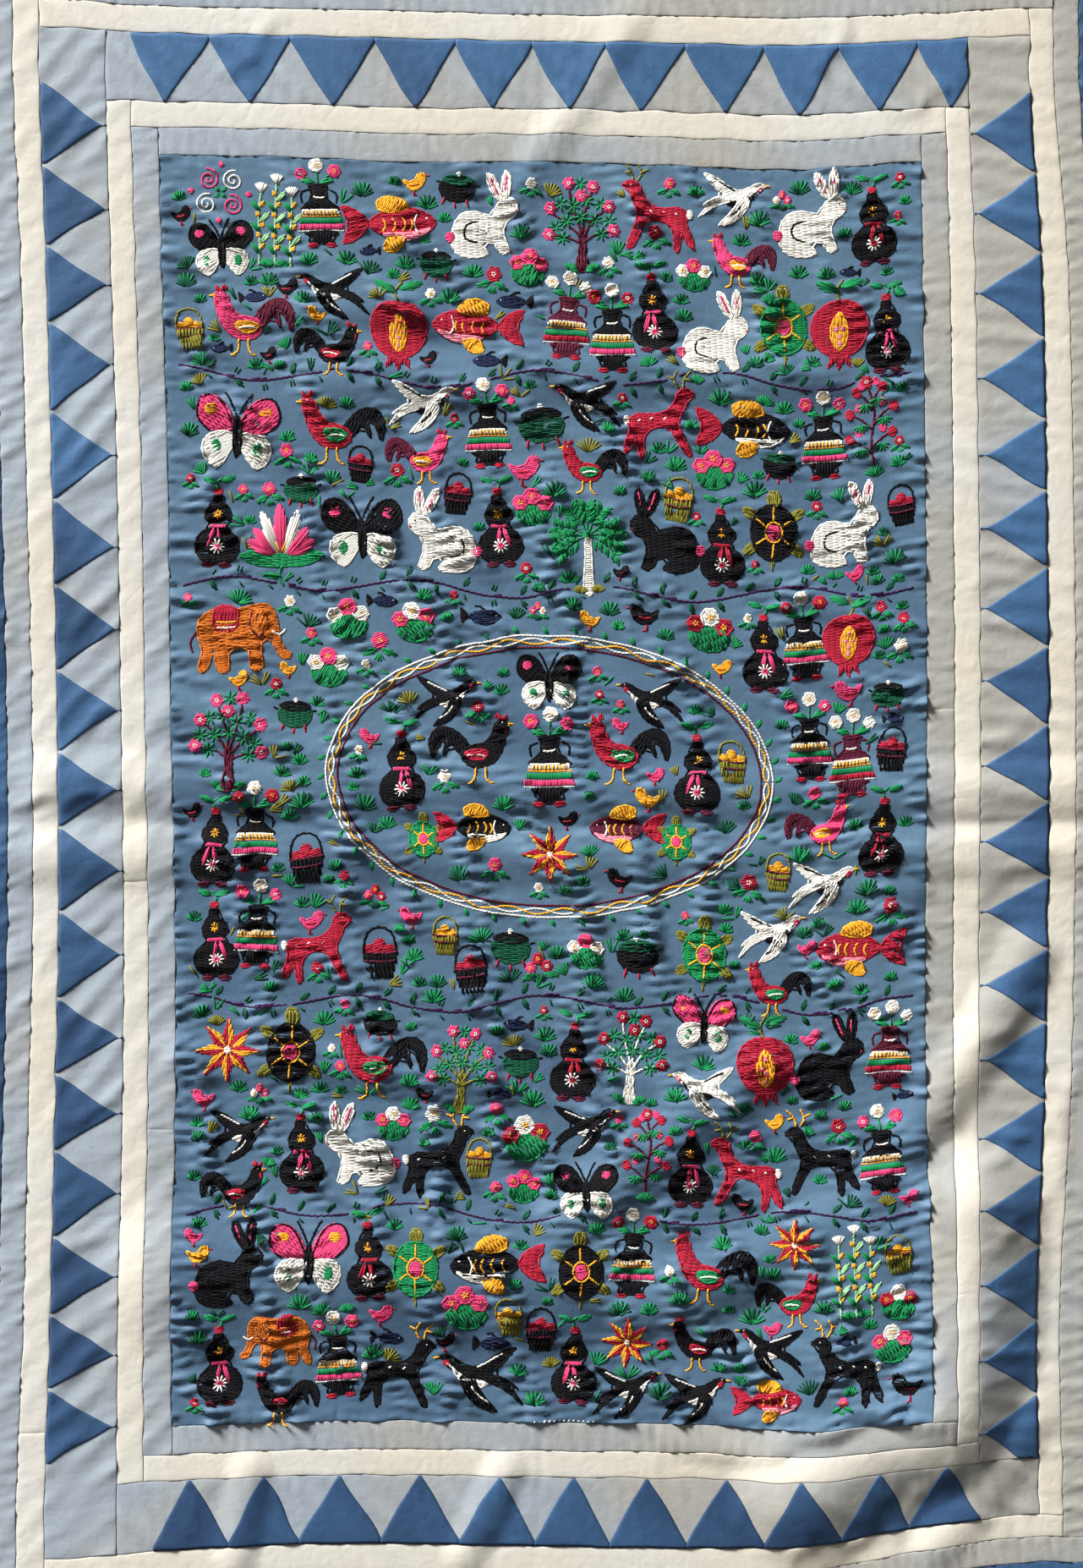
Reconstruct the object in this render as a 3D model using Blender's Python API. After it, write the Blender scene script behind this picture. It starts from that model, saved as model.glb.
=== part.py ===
"""Pieced and embroidered story cloth, laid face up on a table.

A blue centre panel is framed by six rings of cloth strips, sewn on one after the other:
narrow grey, cream, the wide grey band that carries the blue teeth, cream, grey, and a blue
border with the hem. Each ring has four strips. The left strip runs the whole height, the top
strip butts against it, the right strip covers the top strip's end, and the bottom strip covers
the right strip's end.

Sizes are in millimetres. Cut coordinates (u, v) are measured on the flat cloth from the middle
of the panel, u to the right and v towards the top. laid() takes them to where the cloth lies:
its seams have pulled a few millimetres in or out, and it rises in low folds.
"""
import bpy
import numpy as np

MM = 0.001

PANEL_WIDTH = 715
PANEL_LENGTH = 1194
CLOTH = 1.5
SEAM_GAP = 0.3
CELL = 30

# name, finished width, cloth, cells across
RINGS = (
    ("inner_grey", 26, "grey", 1),
    ("inner_cream", 24, "cream", 1),
    ("tooth_band", 64, "grey", 2),
    ("outer_cream", 25, "cream", 1),
    ("outer_grey", 24, "grey", 1),
    ("outer_blue", 38, "blue", 1),
)
# The drift tables below follow the panel's own seam and the seam outside this ring.
DRIFT_RING = "outer_cream"

# Drift of the side seams to the right, at stations up the cloth.
SIDE_STATIONS = (-700, -500, -300, -100, 100, 300, 500, 700)
LEFT_OUTER = (-1, 6, 11, 15.5, 14, 9, 3.5, -4)
LEFT_INNER = (9, 7, 11, 10.5, 6.5, 4, -2, -6)
RIGHT_INNER = (10, 11, 6.5, 6, 7.5, 6, 3.5, 1)
RIGHT_OUTER = (-3, -6, 4.5, 8.5, 9.5, 7, 2, -12)

# Drift of the top and bottom seams upwards, at stations across the cloth.
END_STATIONS = (-480, -360, -240, -120, 0, 120, 240, 360, 480)
TOP_OUTER = (7, 0, -2.5, -5, -8.5, -9.5, -11.5, -7.5, -2)
TOP_INNER = (-1, -2, -4, -9, -8.5, -12, -16, -8, -8)
BOTTOM_INNER = (-14, -11, -6.5, -6, -7.5, -8.5, -13, -3, 2)
BOTTOM_OUTER = (-25, -15, -9, -8.5, -11, -13, -9, 12, 24)

# Each fold is a soft ridge along a shallow arc: where its crest starts and ends, how far it
# reaches to either side, how high it stands, and how far its middle bows to its left.
# name, from x, from y, to x, to y, reach, height, bow
FOLDS = (
    ("middle crease, upper lip", -470, 4, 505, -4, 36, 4.5, -8),
    ("middle crease, lower lip", -505, -70, 510, -66, 34, 4.0, 0),
    ("middle crease, run-in on the left", -352, 70, -170, 0, 30, 3.5, 6),
    ("shelf under the middle crease", 232, -92, 350, -100, 26, 3.5, 0),
    ("ripple at the upper left", -300, 446, -120, 452, 26, 3.0, 0),
    ("wave across the upper third", -210, 378, 260, 384, 36, 4.5, 6),
    ("drag line at the top", 84, 722, -28, 554, 28, 2.5, 0),
    ("ripple at the lower left", -340, -258, -64, -278, 30, 4.5, 0),
    ("ripple above the bottom roll", -272, -406, -152, -446, 26, 3.5, 0),
    ("bottom roll", -345, -462, 20, -468, 85, 10.0, 0),
    ("first slanting fold", 460, -162, 344, -338, 36, 7.0, 8),
    ("second slanting fold", 208, -268, 20, -417, 44, 8.0, 0),
    ("third slanting fold", 328, -382, 88, -494, 44, 8.0, 12),
    ("corner fold, side part", 404, -410, 376, -604, 84, 20.0, 10),
    ("corner fold, bottom part", 376, -604, 250, -674, 80, 16.0, -8),
    ("shoulder behind the corner fold", 316, -446, 270, -590, 110, 10.0, 0),
    ("last fold", 466, -598, 372, -724, 30, 3.5, 6),
    ("wave in the bottom band, left", -276, -650, -290, -732, 26, 3.5, 0),
    ("wave in the bottom band, middle", -36, -650, -72, -728, 26, 3.5, 0),
)

# name, colour (linear), roughness
CLOTHS = (
    ("blue", (0.095, 0.195, 0.310), 0.62),
    ("grey", (0.410, 0.420, 0.420), 0.66),
    ("cream", (0.850, 0.790, 0.660), 0.68),
)


def clear_scene():
    for item in list(bpy.data.objects):
        bpy.data.objects.remove(item)


def cloth_materials():
    made = {}
    for name, colour, roughness in CLOTHS:
        material = bpy.data.materials.new(name + "_cloth")
        material.use_nodes = True
        shader = material.node_tree.nodes["Principled BSDF"]
        shader.inputs["Base Color"].default_value = (*colour, 1.0)
        shader.inputs["Roughness"].default_value = roughness
        shader.inputs["Metallic"].default_value = 0.0
        made[name] = material
    return made


def smooth_curve(stations, values, at):
    """Cubic curve through the values at their stations, level beyond the first and the last."""
    stations = np.array(stations, float)
    values = np.array(values, float)
    slopes = np.gradient(values, stations)
    slopes[[0, -1]] = 0.0
    at = np.clip(at, stations[0], stations[-1])
    left = np.clip(np.searchsorted(stations, at) - 1, 0, len(stations) - 2)
    span = stations[left + 1] - stations[left]
    s = (at - stations[left]) / span
    rise = (2 * s**3 - 3 * s**2 + 1) * values[left] + (3 * s**2 - 2 * s**3) * values[left + 1]
    lean = (s**3 - 2 * s**2 + s) * slopes[left] + (s**3 - s**2) * slopes[left + 1]
    return rise + lean * span


def across(position, knots, drifts):
    """Drift at a position: straight from seam to seam, and constant outside the outer seams."""
    position = np.clip(position, knots[0], knots[-1])
    total = np.zeros_like(position)
    for low, high, start, end in zip(knots, knots[1:], drifts, drifts[1:]):
        share = np.clip((position - low) / (high - low), 0, 1)
        total = np.where(position >= low, start + (end - start) * share, total)
    return total


def ring_edges(half):
    """Distances from the middle of the cloth to the panel's seam and each ring's outer seam."""
    widths = [width for _, width, _, _ in RINGS]
    return [half + sum(widths[:count]) for count in range(len(RINGS) + 1)]


def fold_height(x, y):
    """Height of the cloth's underside: each ridge is (1 - (distance / reach)^2)^2 high across
    its crest line, and ridges that meet are blended as the cube root of the sum of cubes."""
    total = np.zeros_like(x)
    for _, from_x, from_y, to_x, to_y, reach, height, bow in FOLDS:
        length = np.hypot(to_x - from_x, to_y - from_y)
        along_x, along_y = (to_x - from_x) / length, (to_y - from_y) / length
        along = (x - from_x) * along_x + (y - from_y) * along_y
        aside = (y - from_y) * along_x - (x - from_x) * along_y
        share = np.clip(along / length, 0, 1)
        aside = aside - 4 * bow * share * (1 - share)
        past_end = along - share * length
        distance = np.hypot(aside, past_end) / reach
        total += (height * np.clip(1 - distance**2, 0, None) ** 2) ** 3
    return np.cbrt(total)


def laid(u, v):
    """Where the point cut at (u, v) lies: x, y and the height of its underside."""
    panel_u, panel_v = PANEL_WIDTH / 2, PANEL_LENGTH / 2
    outer = 1 + [name for name, _, _, _ in RINGS].index(DRIFT_RING)
    outer_u, outer_v = ring_edges(panel_u)[outer], ring_edges(panel_v)[outer]
    sides = [smooth_curve(SIDE_STATIONS, table, v)
             for table in (LEFT_OUTER, LEFT_INNER, RIGHT_INNER, RIGHT_OUTER)]
    ends = [smooth_curve(END_STATIONS, table, u)
            for table in (BOTTOM_OUTER, BOTTOM_INNER, TOP_INNER, TOP_OUTER)]
    x = u + across(u, (-outer_u, -panel_u, panel_u, outer_u), sides)
    y = v + across(v, (-outer_v, -panel_v, panel_v, outer_v), ends)
    return x, y, fold_height(x, y)


def grid_lines(half):
    """Cut lines that every piece shares, so that neighbours' facets match along their seam."""
    cells = 2 * round(half / CELL)
    lines = list(np.linspace(-half, half, cells + 1))
    for start, (_, width, _, split) in zip(ring_edges(half), RINGS):
        for step in range(1, split + 1):
            lines += [start + width * step / split, -start - width * step / split]
    return np.array(sorted(lines))


def piece_outlines():
    """Name, cloth, and the cut limits (left, right, bottom, top) of every piece."""
    yield "centre_panel", "blue", (-PANEL_WIDTH / 2, PANEL_WIDTH / 2, -PANEL_LENGTH / 2, PANEL_LENGTH / 2)
    side_edges, end_edges = ring_edges(PANEL_WIDTH / 2), ring_edges(PANEL_LENGTH / 2)
    for index, (ring, _, cloth, _) in enumerate(RINGS):
        in_u, out_u = side_edges[index], side_edges[index + 1]
        in_v, out_v = end_edges[index], end_edges[index + 1]
        yield ring + "_left", cloth, (-out_u, -in_u, -out_v, out_v)
        yield ring + "_top", cloth, (-in_u, in_u, in_v, out_v)
        yield ring + "_right", cloth, (in_u, out_u, -in_v, out_v)
        yield ring + "_bottom", cloth, (-in_u, out_u, -out_v, -in_v)


def piece_lines(lines, low, high):
    """The shared lines between two seams, with half of the seam's gap taken off each end."""
    inside = lines[(lines > low + SEAM_GAP) & (lines < high - SEAM_GAP)]
    return np.concatenate([[low + SEAM_GAP / 2], inside, [high - SEAM_GAP / 2]])


def sheet_faces(columns, rows):
    """Faces of a closed sheet: its underside and its face, whose cells are cut along the same
    diagonal so that the cloth keeps its thickness, and the rim that joins them."""
    under = np.arange(columns * rows).reshape(rows, columns)
    corners = under[:-1, :-1], under[:-1, 1:], under[1:, 1:], under[1:, :-1]
    low_left, low_right, top_right, top_left = (corner.ravel() for corner in corners)
    cells = np.concatenate([np.stack([low_left, low_right, top_right], -1),
                            np.stack([low_left, top_right, top_left], -1)])
    rim = np.concatenate([under[0, :-1], under[:-1, -1], under[-1, :0:-1], under[:0:-1, 0]])
    after = np.roll(rim, -1)
    up = columns * rows
    walls = np.stack([rim, after, after + up, rim + up], -1)
    return (cells + up).tolist() + cells[:, ::-1].tolist() + walls.tolist()


def make_piece(name, material, columns, rows, middle):
    """One closed sheet over a grid of cut lines, a cloth's thickness between its two sides."""
    x, y, z = laid(*np.meshgrid(columns, rows))
    under = np.stack([x - middle[0], y - middle[1], z], -1).reshape(-1, 3)
    points = np.concatenate([under, under + (0, 0, CLOTH)]) * MM
    mesh = bpy.data.meshes.new(name)
    mesh.from_pydata(points.tolist(), [], sheet_faces(len(columns), len(rows)))
    mesh.materials.append(material)
    piece = bpy.data.objects.new(name, mesh)
    bpy.context.collection.objects.link(piece)


def main():
    clear_scene()
    materials = cloth_materials()
    lines_u, lines_v = grid_lines(PANEL_WIDTH / 2), grid_lines(PANEL_LENGTH / 2)
    x, y, _ = laid(*np.meshgrid(lines_u, lines_v))
    middle = ((x.min() + x.max()) / 2, (y.min() + y.max()) / 2)
    for name, cloth, (left, right, bottom, top) in piece_outlines():
        columns = piece_lines(lines_u, left, right)
        rows = piece_lines(lines_v, bottom, top)
        make_piece(name, materials[cloth], columns, rows, middle)


main()
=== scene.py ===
import bpy
import numpy as np
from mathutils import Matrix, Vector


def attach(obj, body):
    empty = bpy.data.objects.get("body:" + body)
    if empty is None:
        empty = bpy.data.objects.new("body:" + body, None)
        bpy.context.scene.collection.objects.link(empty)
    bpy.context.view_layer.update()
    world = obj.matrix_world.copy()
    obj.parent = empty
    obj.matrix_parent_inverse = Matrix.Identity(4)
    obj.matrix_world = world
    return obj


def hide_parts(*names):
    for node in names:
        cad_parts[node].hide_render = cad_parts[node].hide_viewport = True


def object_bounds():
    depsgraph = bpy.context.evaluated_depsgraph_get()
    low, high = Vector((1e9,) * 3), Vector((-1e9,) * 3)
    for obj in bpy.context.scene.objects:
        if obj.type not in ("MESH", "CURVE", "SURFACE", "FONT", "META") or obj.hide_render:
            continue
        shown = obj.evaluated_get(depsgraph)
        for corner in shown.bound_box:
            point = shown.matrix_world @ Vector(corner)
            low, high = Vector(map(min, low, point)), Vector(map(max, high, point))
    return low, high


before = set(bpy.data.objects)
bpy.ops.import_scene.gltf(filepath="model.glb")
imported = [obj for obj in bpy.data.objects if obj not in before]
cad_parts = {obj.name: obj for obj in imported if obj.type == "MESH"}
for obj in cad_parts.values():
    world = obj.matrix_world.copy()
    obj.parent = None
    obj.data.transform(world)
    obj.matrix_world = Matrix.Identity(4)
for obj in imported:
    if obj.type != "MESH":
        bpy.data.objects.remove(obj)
cad_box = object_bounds()

# ---------------------------------------------------------------------------------------
# Centre panel: one piece of smooth blue cotton blend, sewn into the frame of strips on all
# four sides. The embroidery has drawn it up in short ripples, and it keeps the creases of
# having been folded away.
# ---------------------------------------------------------------------------------------
MM = 0.001
PANEL_WIDTH = 715
PANEL_LENGTH = 1194
CLOTH = 1.5
SEAM_GAP = 0.3

# name, finished width, cloth, height of the puckers along its seams
RINGS = (
    ("inner_grey", 26, "grey", 0.26),
    ("inner_cream", 24, "cream", 0.06),
    ("tooth_band", 64, "grey", 0.14),
    ("outer_cream", 25, "cream", 0.07),
    ("outer_grey", 24, "grey", 0.34),
    ("outer_blue", 38, "edge_blue", 0.34),
)
DRIFT_RING = "outer_cream"

# Drift of the side seams to the right, at stations up the cloth.
SIDE_STATIONS = (-700, -500, -300, -100, 100, 300, 500, 700)
LEFT_OUTER = (-1, 6, 11, 15.5, 14, 9, 3.5, -4)
LEFT_INNER = (9, 7, 11, 10.5, 6.5, 4, -2, -6)
RIGHT_INNER = (10, 11, 6.5, 6, 7.5, 6, 3.5, 1)
RIGHT_OUTER = (-3, -6, 4.5, 8.5, 9.5, 7, 2, -12)

# Drift of the top and bottom seams upwards, at stations across the cloth.
END_STATIONS = (-480, -360, -240, -120, 0, 120, 240, 360, 480)
TOP_OUTER = (7, 0, -2.5, -5, -8.5, -9.5, -11.5, -7.5, -2)
TOP_INNER = (-1, -2, -4, -9, -8.5, -12, -16, -8, -8)
BOTTOM_INNER = (-14, -11, -6.5, -6, -7.5, -8.5, -13, -3, 2)
BOTTOM_OUTER = (-25, -15, -9, -8.5, -11, -13, -9, 12, 24)

# Each fold is a soft ridge along a shallow arc: where its crest starts and ends, how far it
# reaches to either side, how high it stands, and how far its middle bows to its left.
# name, from x, from y, to x, to y, reach, height, bow
FOLDS = (
    ("middle crease, upper lip", -470, 4, 505, -4, 36, 4.5, -8),
    ("middle crease, lower lip", -505, -70, 510, -66, 34, 4.0, 0),
    ("middle crease, run-in on the left", -352, 70, -170, 0, 30, 3.5, 6),
    ("shelf under the middle crease", 232, -92, 350, -100, 26, 3.5, 0),
    ("ripple at the upper left", -300, 446, -120, 452, 26, 3.0, 0),
    ("wave across the upper third", -210, 378, 260, 384, 36, 4.5, 6),
    ("drag line at the top", 84, 722, -28, 554, 28, 2.5, 0),
    ("ripple at the lower left", -340, -258, -64, -278, 30, 4.5, 0),
    ("ripple above the bottom roll", -272, -406, -152, -446, 26, 3.5, 0),
    ("bottom roll", -345, -462, 20, -468, 85, 10.0, 0),
    ("first slanting fold", 460, -162, 344, -338, 36, 7.0, 8),
    ("second slanting fold", 208, -268, 20, -417, 44, 8.0, 0),
    ("third slanting fold", 328, -382, 88, -494, 44, 8.0, 12),
    ("corner fold, side part", 404, -410, 376, -604, 84, 20.0, 10),
    ("corner fold, bottom part", 376, -604, 250, -674, 80, 16.0, -8),
    ("shoulder behind the corner fold", 316, -446, 270, -590, 110, 10.0, 0),
    ("last fold", 466, -598, 372, -724, 30, 3.5, 6),
    ("wave in the bottom band, left", -276, -650, -290, -732, 26, 3.5, 0),
    ("wave in the bottom band, middle", -36, -650, -72, -728, 26, 3.5, 0),
)

# Creases pressed in where the cloth was folded away: narrow troughs along a line.
# name, from x, from y, to x, to y, width, depth
CREASES = (
    ("middle", -520, -34, 520, -38, 3.0, 2.2),
    ("upper", -500, 342, 500, 338, 2.4, 0.6),
    ("lower", -500, -410, 480, -414, 2.4, 0.7),
    ("upright", 2, 760, -4, -760, 2.4, 0.5),
)

# Drag lines, where a seam or a fold pulls the cloth: a low ridge with a trough on its right.
# name, from x, from y, to x, to y, width, height
DRAGS = (
    ("corner, at its top", 474, -404, 404, -462, 8, 1.0),
    ("corner, through the last side tooth but one", 472, -476, 402, -520, 7, 0.5),
    ("corner, through the last side tooth", 470, -546, 404, -588, 7, 0.5),
    ("corner, across the inner cream", 424, -452, 366, -520, 8, 1.3),
    ("corner, under it", 416, -500, 360, -560, 7, 1.2),
    ("corner, into the panel", 384, -540, 306, -606, 9, 1.6),
    ("corner, along the panel's end", 384, -604, 226, -618, 13, 4.4),
    ("corner, down the inner grey", 374, -270, 370, -600, 20, 1.6),
    ("corner, down the inner cream", 394, -230, 386, -440, 16, 1.2),
    ("corner, along the inner cream", 360, -632, 110, -642, 14, 2.8),
    ("corner, across the bottom cream", 352, -612, 284, -660, 7, 1.5),
    ("corner, through the bottom band", 402, -636, 330, -716, 8, 0.9),
    ("corner, beside it", 350, -646, 300, -712, 7, 0.7),
    ("corner, on the grey of the corner", 408, -648, 466, -690, 7, 1.3),
    ("corner, beside it on the grey", 404, -668, 452, -712, 7, 1.1),
    ("bottom cream, at the right", 330, -690, 286, -738, 7, 1.2),
    ("bottom cream, in the middle", 262, -704, 238, -748, 7, 1.0),
    ("bottom band, middle right", 226, -640, 178, -724, 8, 0.6),
    ("right band, upper", 488, 214, 404, 176, 8, 0.9),
    ("right band, middle", 486, 62, 402, 18, 8, 0.9),
    ("right band, under the middle", 490, -64, 404, -116, 8, 0.9),
    ("right band, lower", 486, -208, 402, -262, 8, 1.3),
    ("right band, above the corner", 486, -322, 400, -384, 9, 1.3),
    ("outer grey at the right", 516, -250, 488, -400, 9, 1.2),
    ("left band, upper", -396, 300, -462, 252, 8, 0.8),
    ("left band, middle", -400, 168, -470, 128, 8, 0.9),
    ("left band, over the middle", -396, -8, -468, -28, 7, 1.3),
    ("left cream and grey, at the middle", -456, -14, -514, -30, 6, 1.7),
    ("left cream and grey, under the middle", -458, -32, -512, -52, 6, 1.5),
    ("left band, under the middle", -398, -124, -470, -164, 8, 1.0),
    ("left band, lower", -394, -300, -462, -330, 8, 1.1),
    ("left band, last", -396, -424, -470, -462, 8, 1.0),
    ("panel, at its left edge", -352, -6, -296, -18, 6, 1.6),
    ("panel, under it at the left edge", -350, -44, -286, -50, 7, 2.0),
    ("panel, left edge at the upper motifs", -352, 268, -306, 296, 7, 1.6),
    ("outer grey at the left", -492, 150, -512, 118, 7, 1.4),
    ("outer grey at the left, lower", -490, -160, -520, -205, 8, 1.3),
    ("top band, left", -236, 726, -300, 656, 8, 0.9),
    ("top band, middle", 76, 742, 10, 640, 9, 0.6),
    ("top band, right", 300, 728, 262, 652, 8, 0.9),
    ("top cream, right", 404, 660, 330, 624, 8, 0.9),
    ("bottom band, left", -300, -652, -346, -732, 8, 0.6),
    ("bottom band, middle", -10, -650, -56, -730, 8, 0.5),
)


def smooth_curve(stations, values, at):
    """Cubic curve through the values at their stations, level beyond the first and the last."""
    stations = np.array(stations, float)
    values = np.array(values, float)
    slopes = np.gradient(values, stations)
    slopes[[0, -1]] = 0.0
    at = np.clip(at, stations[0], stations[-1])
    left = np.clip(np.searchsorted(stations, at) - 1, 0, len(stations) - 2)
    span = stations[left + 1] - stations[left]
    s = (at - stations[left]) / span
    rise = (2 * s**3 - 3 * s**2 + 1) * values[left] + (3 * s**2 - 2 * s**3) * values[left + 1]
    lean = (s**3 - 2 * s**2 + s) * slopes[left] + (s**3 - s**2) * slopes[left + 1]
    return rise + lean * span


def between_seams(position, knots, drifts):
    """Drift at a position: straight from seam to seam, and constant outside the outer seams."""
    position = np.clip(position, knots[0], knots[-1])
    total = np.zeros_like(position)
    for low, high, start, end in zip(knots, knots[1:], drifts, drifts[1:]):
        share = np.clip((position - low) / (high - low), 0, 1)
        total = np.where(position >= low, start + (end - start) * share, total)
    return total


def ring_edges(half):
    """Distances from the middle of the cloth to the panel's seam and each ring's outer seam."""
    widths = [width for _, width, _, _ in RINGS]
    return [half + sum(widths[:count]) for count in range(len(RINGS) + 1)]


def distance_to_line(x, y, from_x, from_y, to_x, to_y, bow=0.0):
    """Distance from points to a shallow arc, a parabola over the chord between two points."""
    length = np.hypot(to_x - from_x, to_y - from_y)
    along_x, along_y = (to_x - from_x) / length, (to_y - from_y) / length
    along = (x - from_x) * along_x + (y - from_y) * along_y
    aside = (y - from_y) * along_x - (x - from_x) * along_y
    share = np.clip(along / length, 0, 1)
    return np.hypot(aside - 4 * bow * share * (1 - share), along - share * length)


def fold_height(x, y):
    """Height of the cloth's underside: each ridge is (1 - (distance / reach)^2)^2 high across
    its crest line, and ridges that meet are blended as the cube root of the sum of cubes."""
    total = np.zeros_like(x)
    for _, from_x, from_y, to_x, to_y, reach, height, bow in FOLDS:
        distance = distance_to_line(x, y, from_x, from_y, to_x, to_y, bow) / reach
        total += (height * np.clip(1 - distance**2, 0, None) ** 2) ** 3
    return np.cbrt(total)


def drifted(u, v):
    """Where the point cut at (u, v) lies on the table, before the cloth is centred."""
    panel_u, panel_v = PANEL_WIDTH / 2, PANEL_LENGTH / 2
    outer = 1 + [name for name, _, _, _ in RINGS].index(DRIFT_RING)
    outer_u, outer_v = ring_edges(panel_u)[outer], ring_edges(panel_v)[outer]
    sides = [smooth_curve(SIDE_STATIONS, table, v)
             for table in (LEFT_OUTER, LEFT_INNER, RIGHT_INNER, RIGHT_OUTER)]
    ends = [smooth_curve(END_STATIONS, table, u)
            for table in (BOTTOM_OUTER, BOTTOM_INNER, TOP_INNER, TOP_OUTER)]
    x = u + between_seams(u, (-outer_u, -panel_u, panel_u, outer_u), sides)
    y = v + between_seams(v, (-outer_v, -panel_v, panel_v, outer_v), ends)
    return x, y


def waves(u, v, pitch, crest, heading, seed, count=16):
    """Ripples of unit height: the sum of cosine waves about one pitch apart, which travel
    along the heading, in degrees from +u, and whose crests run on for about crest."""
    random = np.random.default_rng(seed)
    turn = np.radians(heading)
    along = u * np.cos(turn) + v * np.sin(turn)
    aside = v * np.cos(turn) - u * np.sin(turn)
    total = np.zeros_like(along)
    for quick, slow, start in zip(random.uniform(0.65, 1.4, count) / pitch,
                                  random.normal(0, 0.5, count) / crest,
                                  random.uniform(0, 2 * np.pi, count)):
        total += np.cos(2 * np.pi * (along * quick + aside * slow) + start)
    return total * np.sqrt(2 / count)


# The cloth lies where its left and bottom hems meet the lowest corner of the CAD box. Each hem
# is measured at as many points as the CAD sheets have along it.
POINTS_UP = 54
POINTS_ACROSS = 38
side_edges, end_edges = ring_edges(PANEL_WIDTH / 2), ring_edges(PANEL_LENGTH / 2)
hem_u, hem_v = side_edges[-1], end_edges[-1]
hem_x, _ = drifted(np.full(POINTS_UP, -hem_u), np.linspace(-hem_v, hem_v, POINTS_UP))
_, hem_y = drifted(np.linspace(-hem_u, hem_u, POINTS_ACROSS), np.full(POINTS_ACROSS, -hem_v))
middle_x = hem_x.min() - cad_box[0].x / MM
middle_y = hem_y.min() - cad_box[0].y / MM
WAVER = 0.35


def laid(u, v):
    """Where the point cut at (u, v) lies in the frame: x, y and the underside's height. The
    seams also waver by a millimetre or so, as hand-guided seams do."""
    x, y = drifted(u, v)
    x = x + WAVER * waves(u, v, 60, 60, 90, 1) - middle_x
    y = y + WAVER * waves(u, v, 60, 60, 0, 2) - middle_y
    return x, y, fold_height(x + middle_x, y + middle_y)


def dragged(x, y):
    """Height of the drag lines: s * exp((1 - s^2) / 2) across each line, with s the distance
    to its right in widths, a little wavy, and swelling along it as the root of a half sine."""
    total = np.zeros_like(x)
    for _, from_x, from_y, to_x, to_y, width, height in DRAGS:
        length = np.hypot(to_x - from_x, to_y - from_y)
        along_x, along_y = (to_x - from_x) / length, (to_y - from_y) / length
        past_x, past_y = x + middle_x - from_x, y + middle_y - from_y
        along = (past_x * along_x + past_y * along_y) / length
        s = (past_x * along_y - past_y * along_x) / width + 0.5 * np.sin(9 * along + from_x)
        swelling = np.sqrt(np.sin(np.pi * np.clip(along, 0, 1)))
        total += height * s * np.exp((1 - s**2) / 2) * swelling
    return total


def creased(x, y):
    """Depth of the pressed creases: each is depth * exp(-distance / width) across its line,
    which wanders a few millimetres off the straight."""
    total = np.zeros_like(x)
    sidestep = 3.0 * waves(x, y, 160, 160, 90, 4, 6)
    upstep = 3.0 * waves(x, y, 160, 160, 0, 3, 6)
    for _, from_x, from_y, to_x, to_y, width, depth in CREASES:
        distance = distance_to_line(x + middle_x + sidestep, y + middle_y + upstep,
                                    from_x, from_y, to_x, to_y)
        total += depth * np.exp(-distance / width)
    return total


# The panel's sets of ripples.
# name, mean pitch, length of a crest, heading, seed, count of waves
PANEL_RIPPLES = (
    ("patches where the others are stronger", 80, 80, 30, 5, 16),
    ("places that lean one way or the other", 90, 70, 20, 13, 30),
    ("fine", 12.5, 26, 97, 6, 30),
    ("level", 26, 34, 83, 10, 30),
    ("rising to the right", 20, 40, 124, 12, 15),
    ("falling to the right", 20, 40, 58, 14, 15),
    ("swell", 60, 100, 66, 7, 12),
    ("short puckers at the sides", 11, 34, 90, 8, 20),
    ("long puckers at the sides", 20, 60, 92, 11, 20),
    ("puckers at the ends", 10, 30, 0, 9, 20),
)


def panel_relief(u, v):
    """Ripples of the panel: round crests with narrow valleys, sqrt(wave^2 + 0.05), that run
    level between the motifs, or slanting to one side or the other in places, and are stronger
    in patches and towards the bottom; a slow swell; and puckers square to each seam, which
    fade as exp(-distance). Together they sink by SETTLED, most of their mean."""
    patches, leaning, fine, level, rising, falling, swell, short, long, ends = (
        waves(u, v, *ripple) for _, *ripple in PANEL_RIPPLES)
    strength = np.clip(0.75 + 0.6 * patches, 0.15, 2.0) * (1.05 - 0.3 * v / PANEL_LENGTH * 2)
    ripples = (0.5 * fine + 1.1 * np.sqrt(level**2 + 0.05)
               + 0.8 * np.clip(leaning, 0, 1) * np.sqrt(rising**2 + 0.03)
               + 0.8 * np.clip(-leaning, 0, 1) * np.sqrt(falling**2 + 0.03))
    to_side = PANEL_WIDTH / 2 - np.abs(u)
    to_end = PANEL_LENGTH / 2 - np.abs(v)
    at_side = 0.8 * np.exp(-to_side / 14) * short + 1.0 * np.exp(-to_side / 34) * long
    at_end = 0.6 * np.exp(-to_end / 13) * ends
    return strength * ripples + 1.5 * swell + at_side + at_end - SETTLED


SETTLED = 0.9
THINNEST = 0.9
# How far a piece's edge is turned down, and how soon inside it the cloth is level.
ROLL = 0.38
ROLL_WIDTH = 0.9
# The grid's first lines inside an edge.
EDGE_STEPS = (0.7, 2.2)


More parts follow.
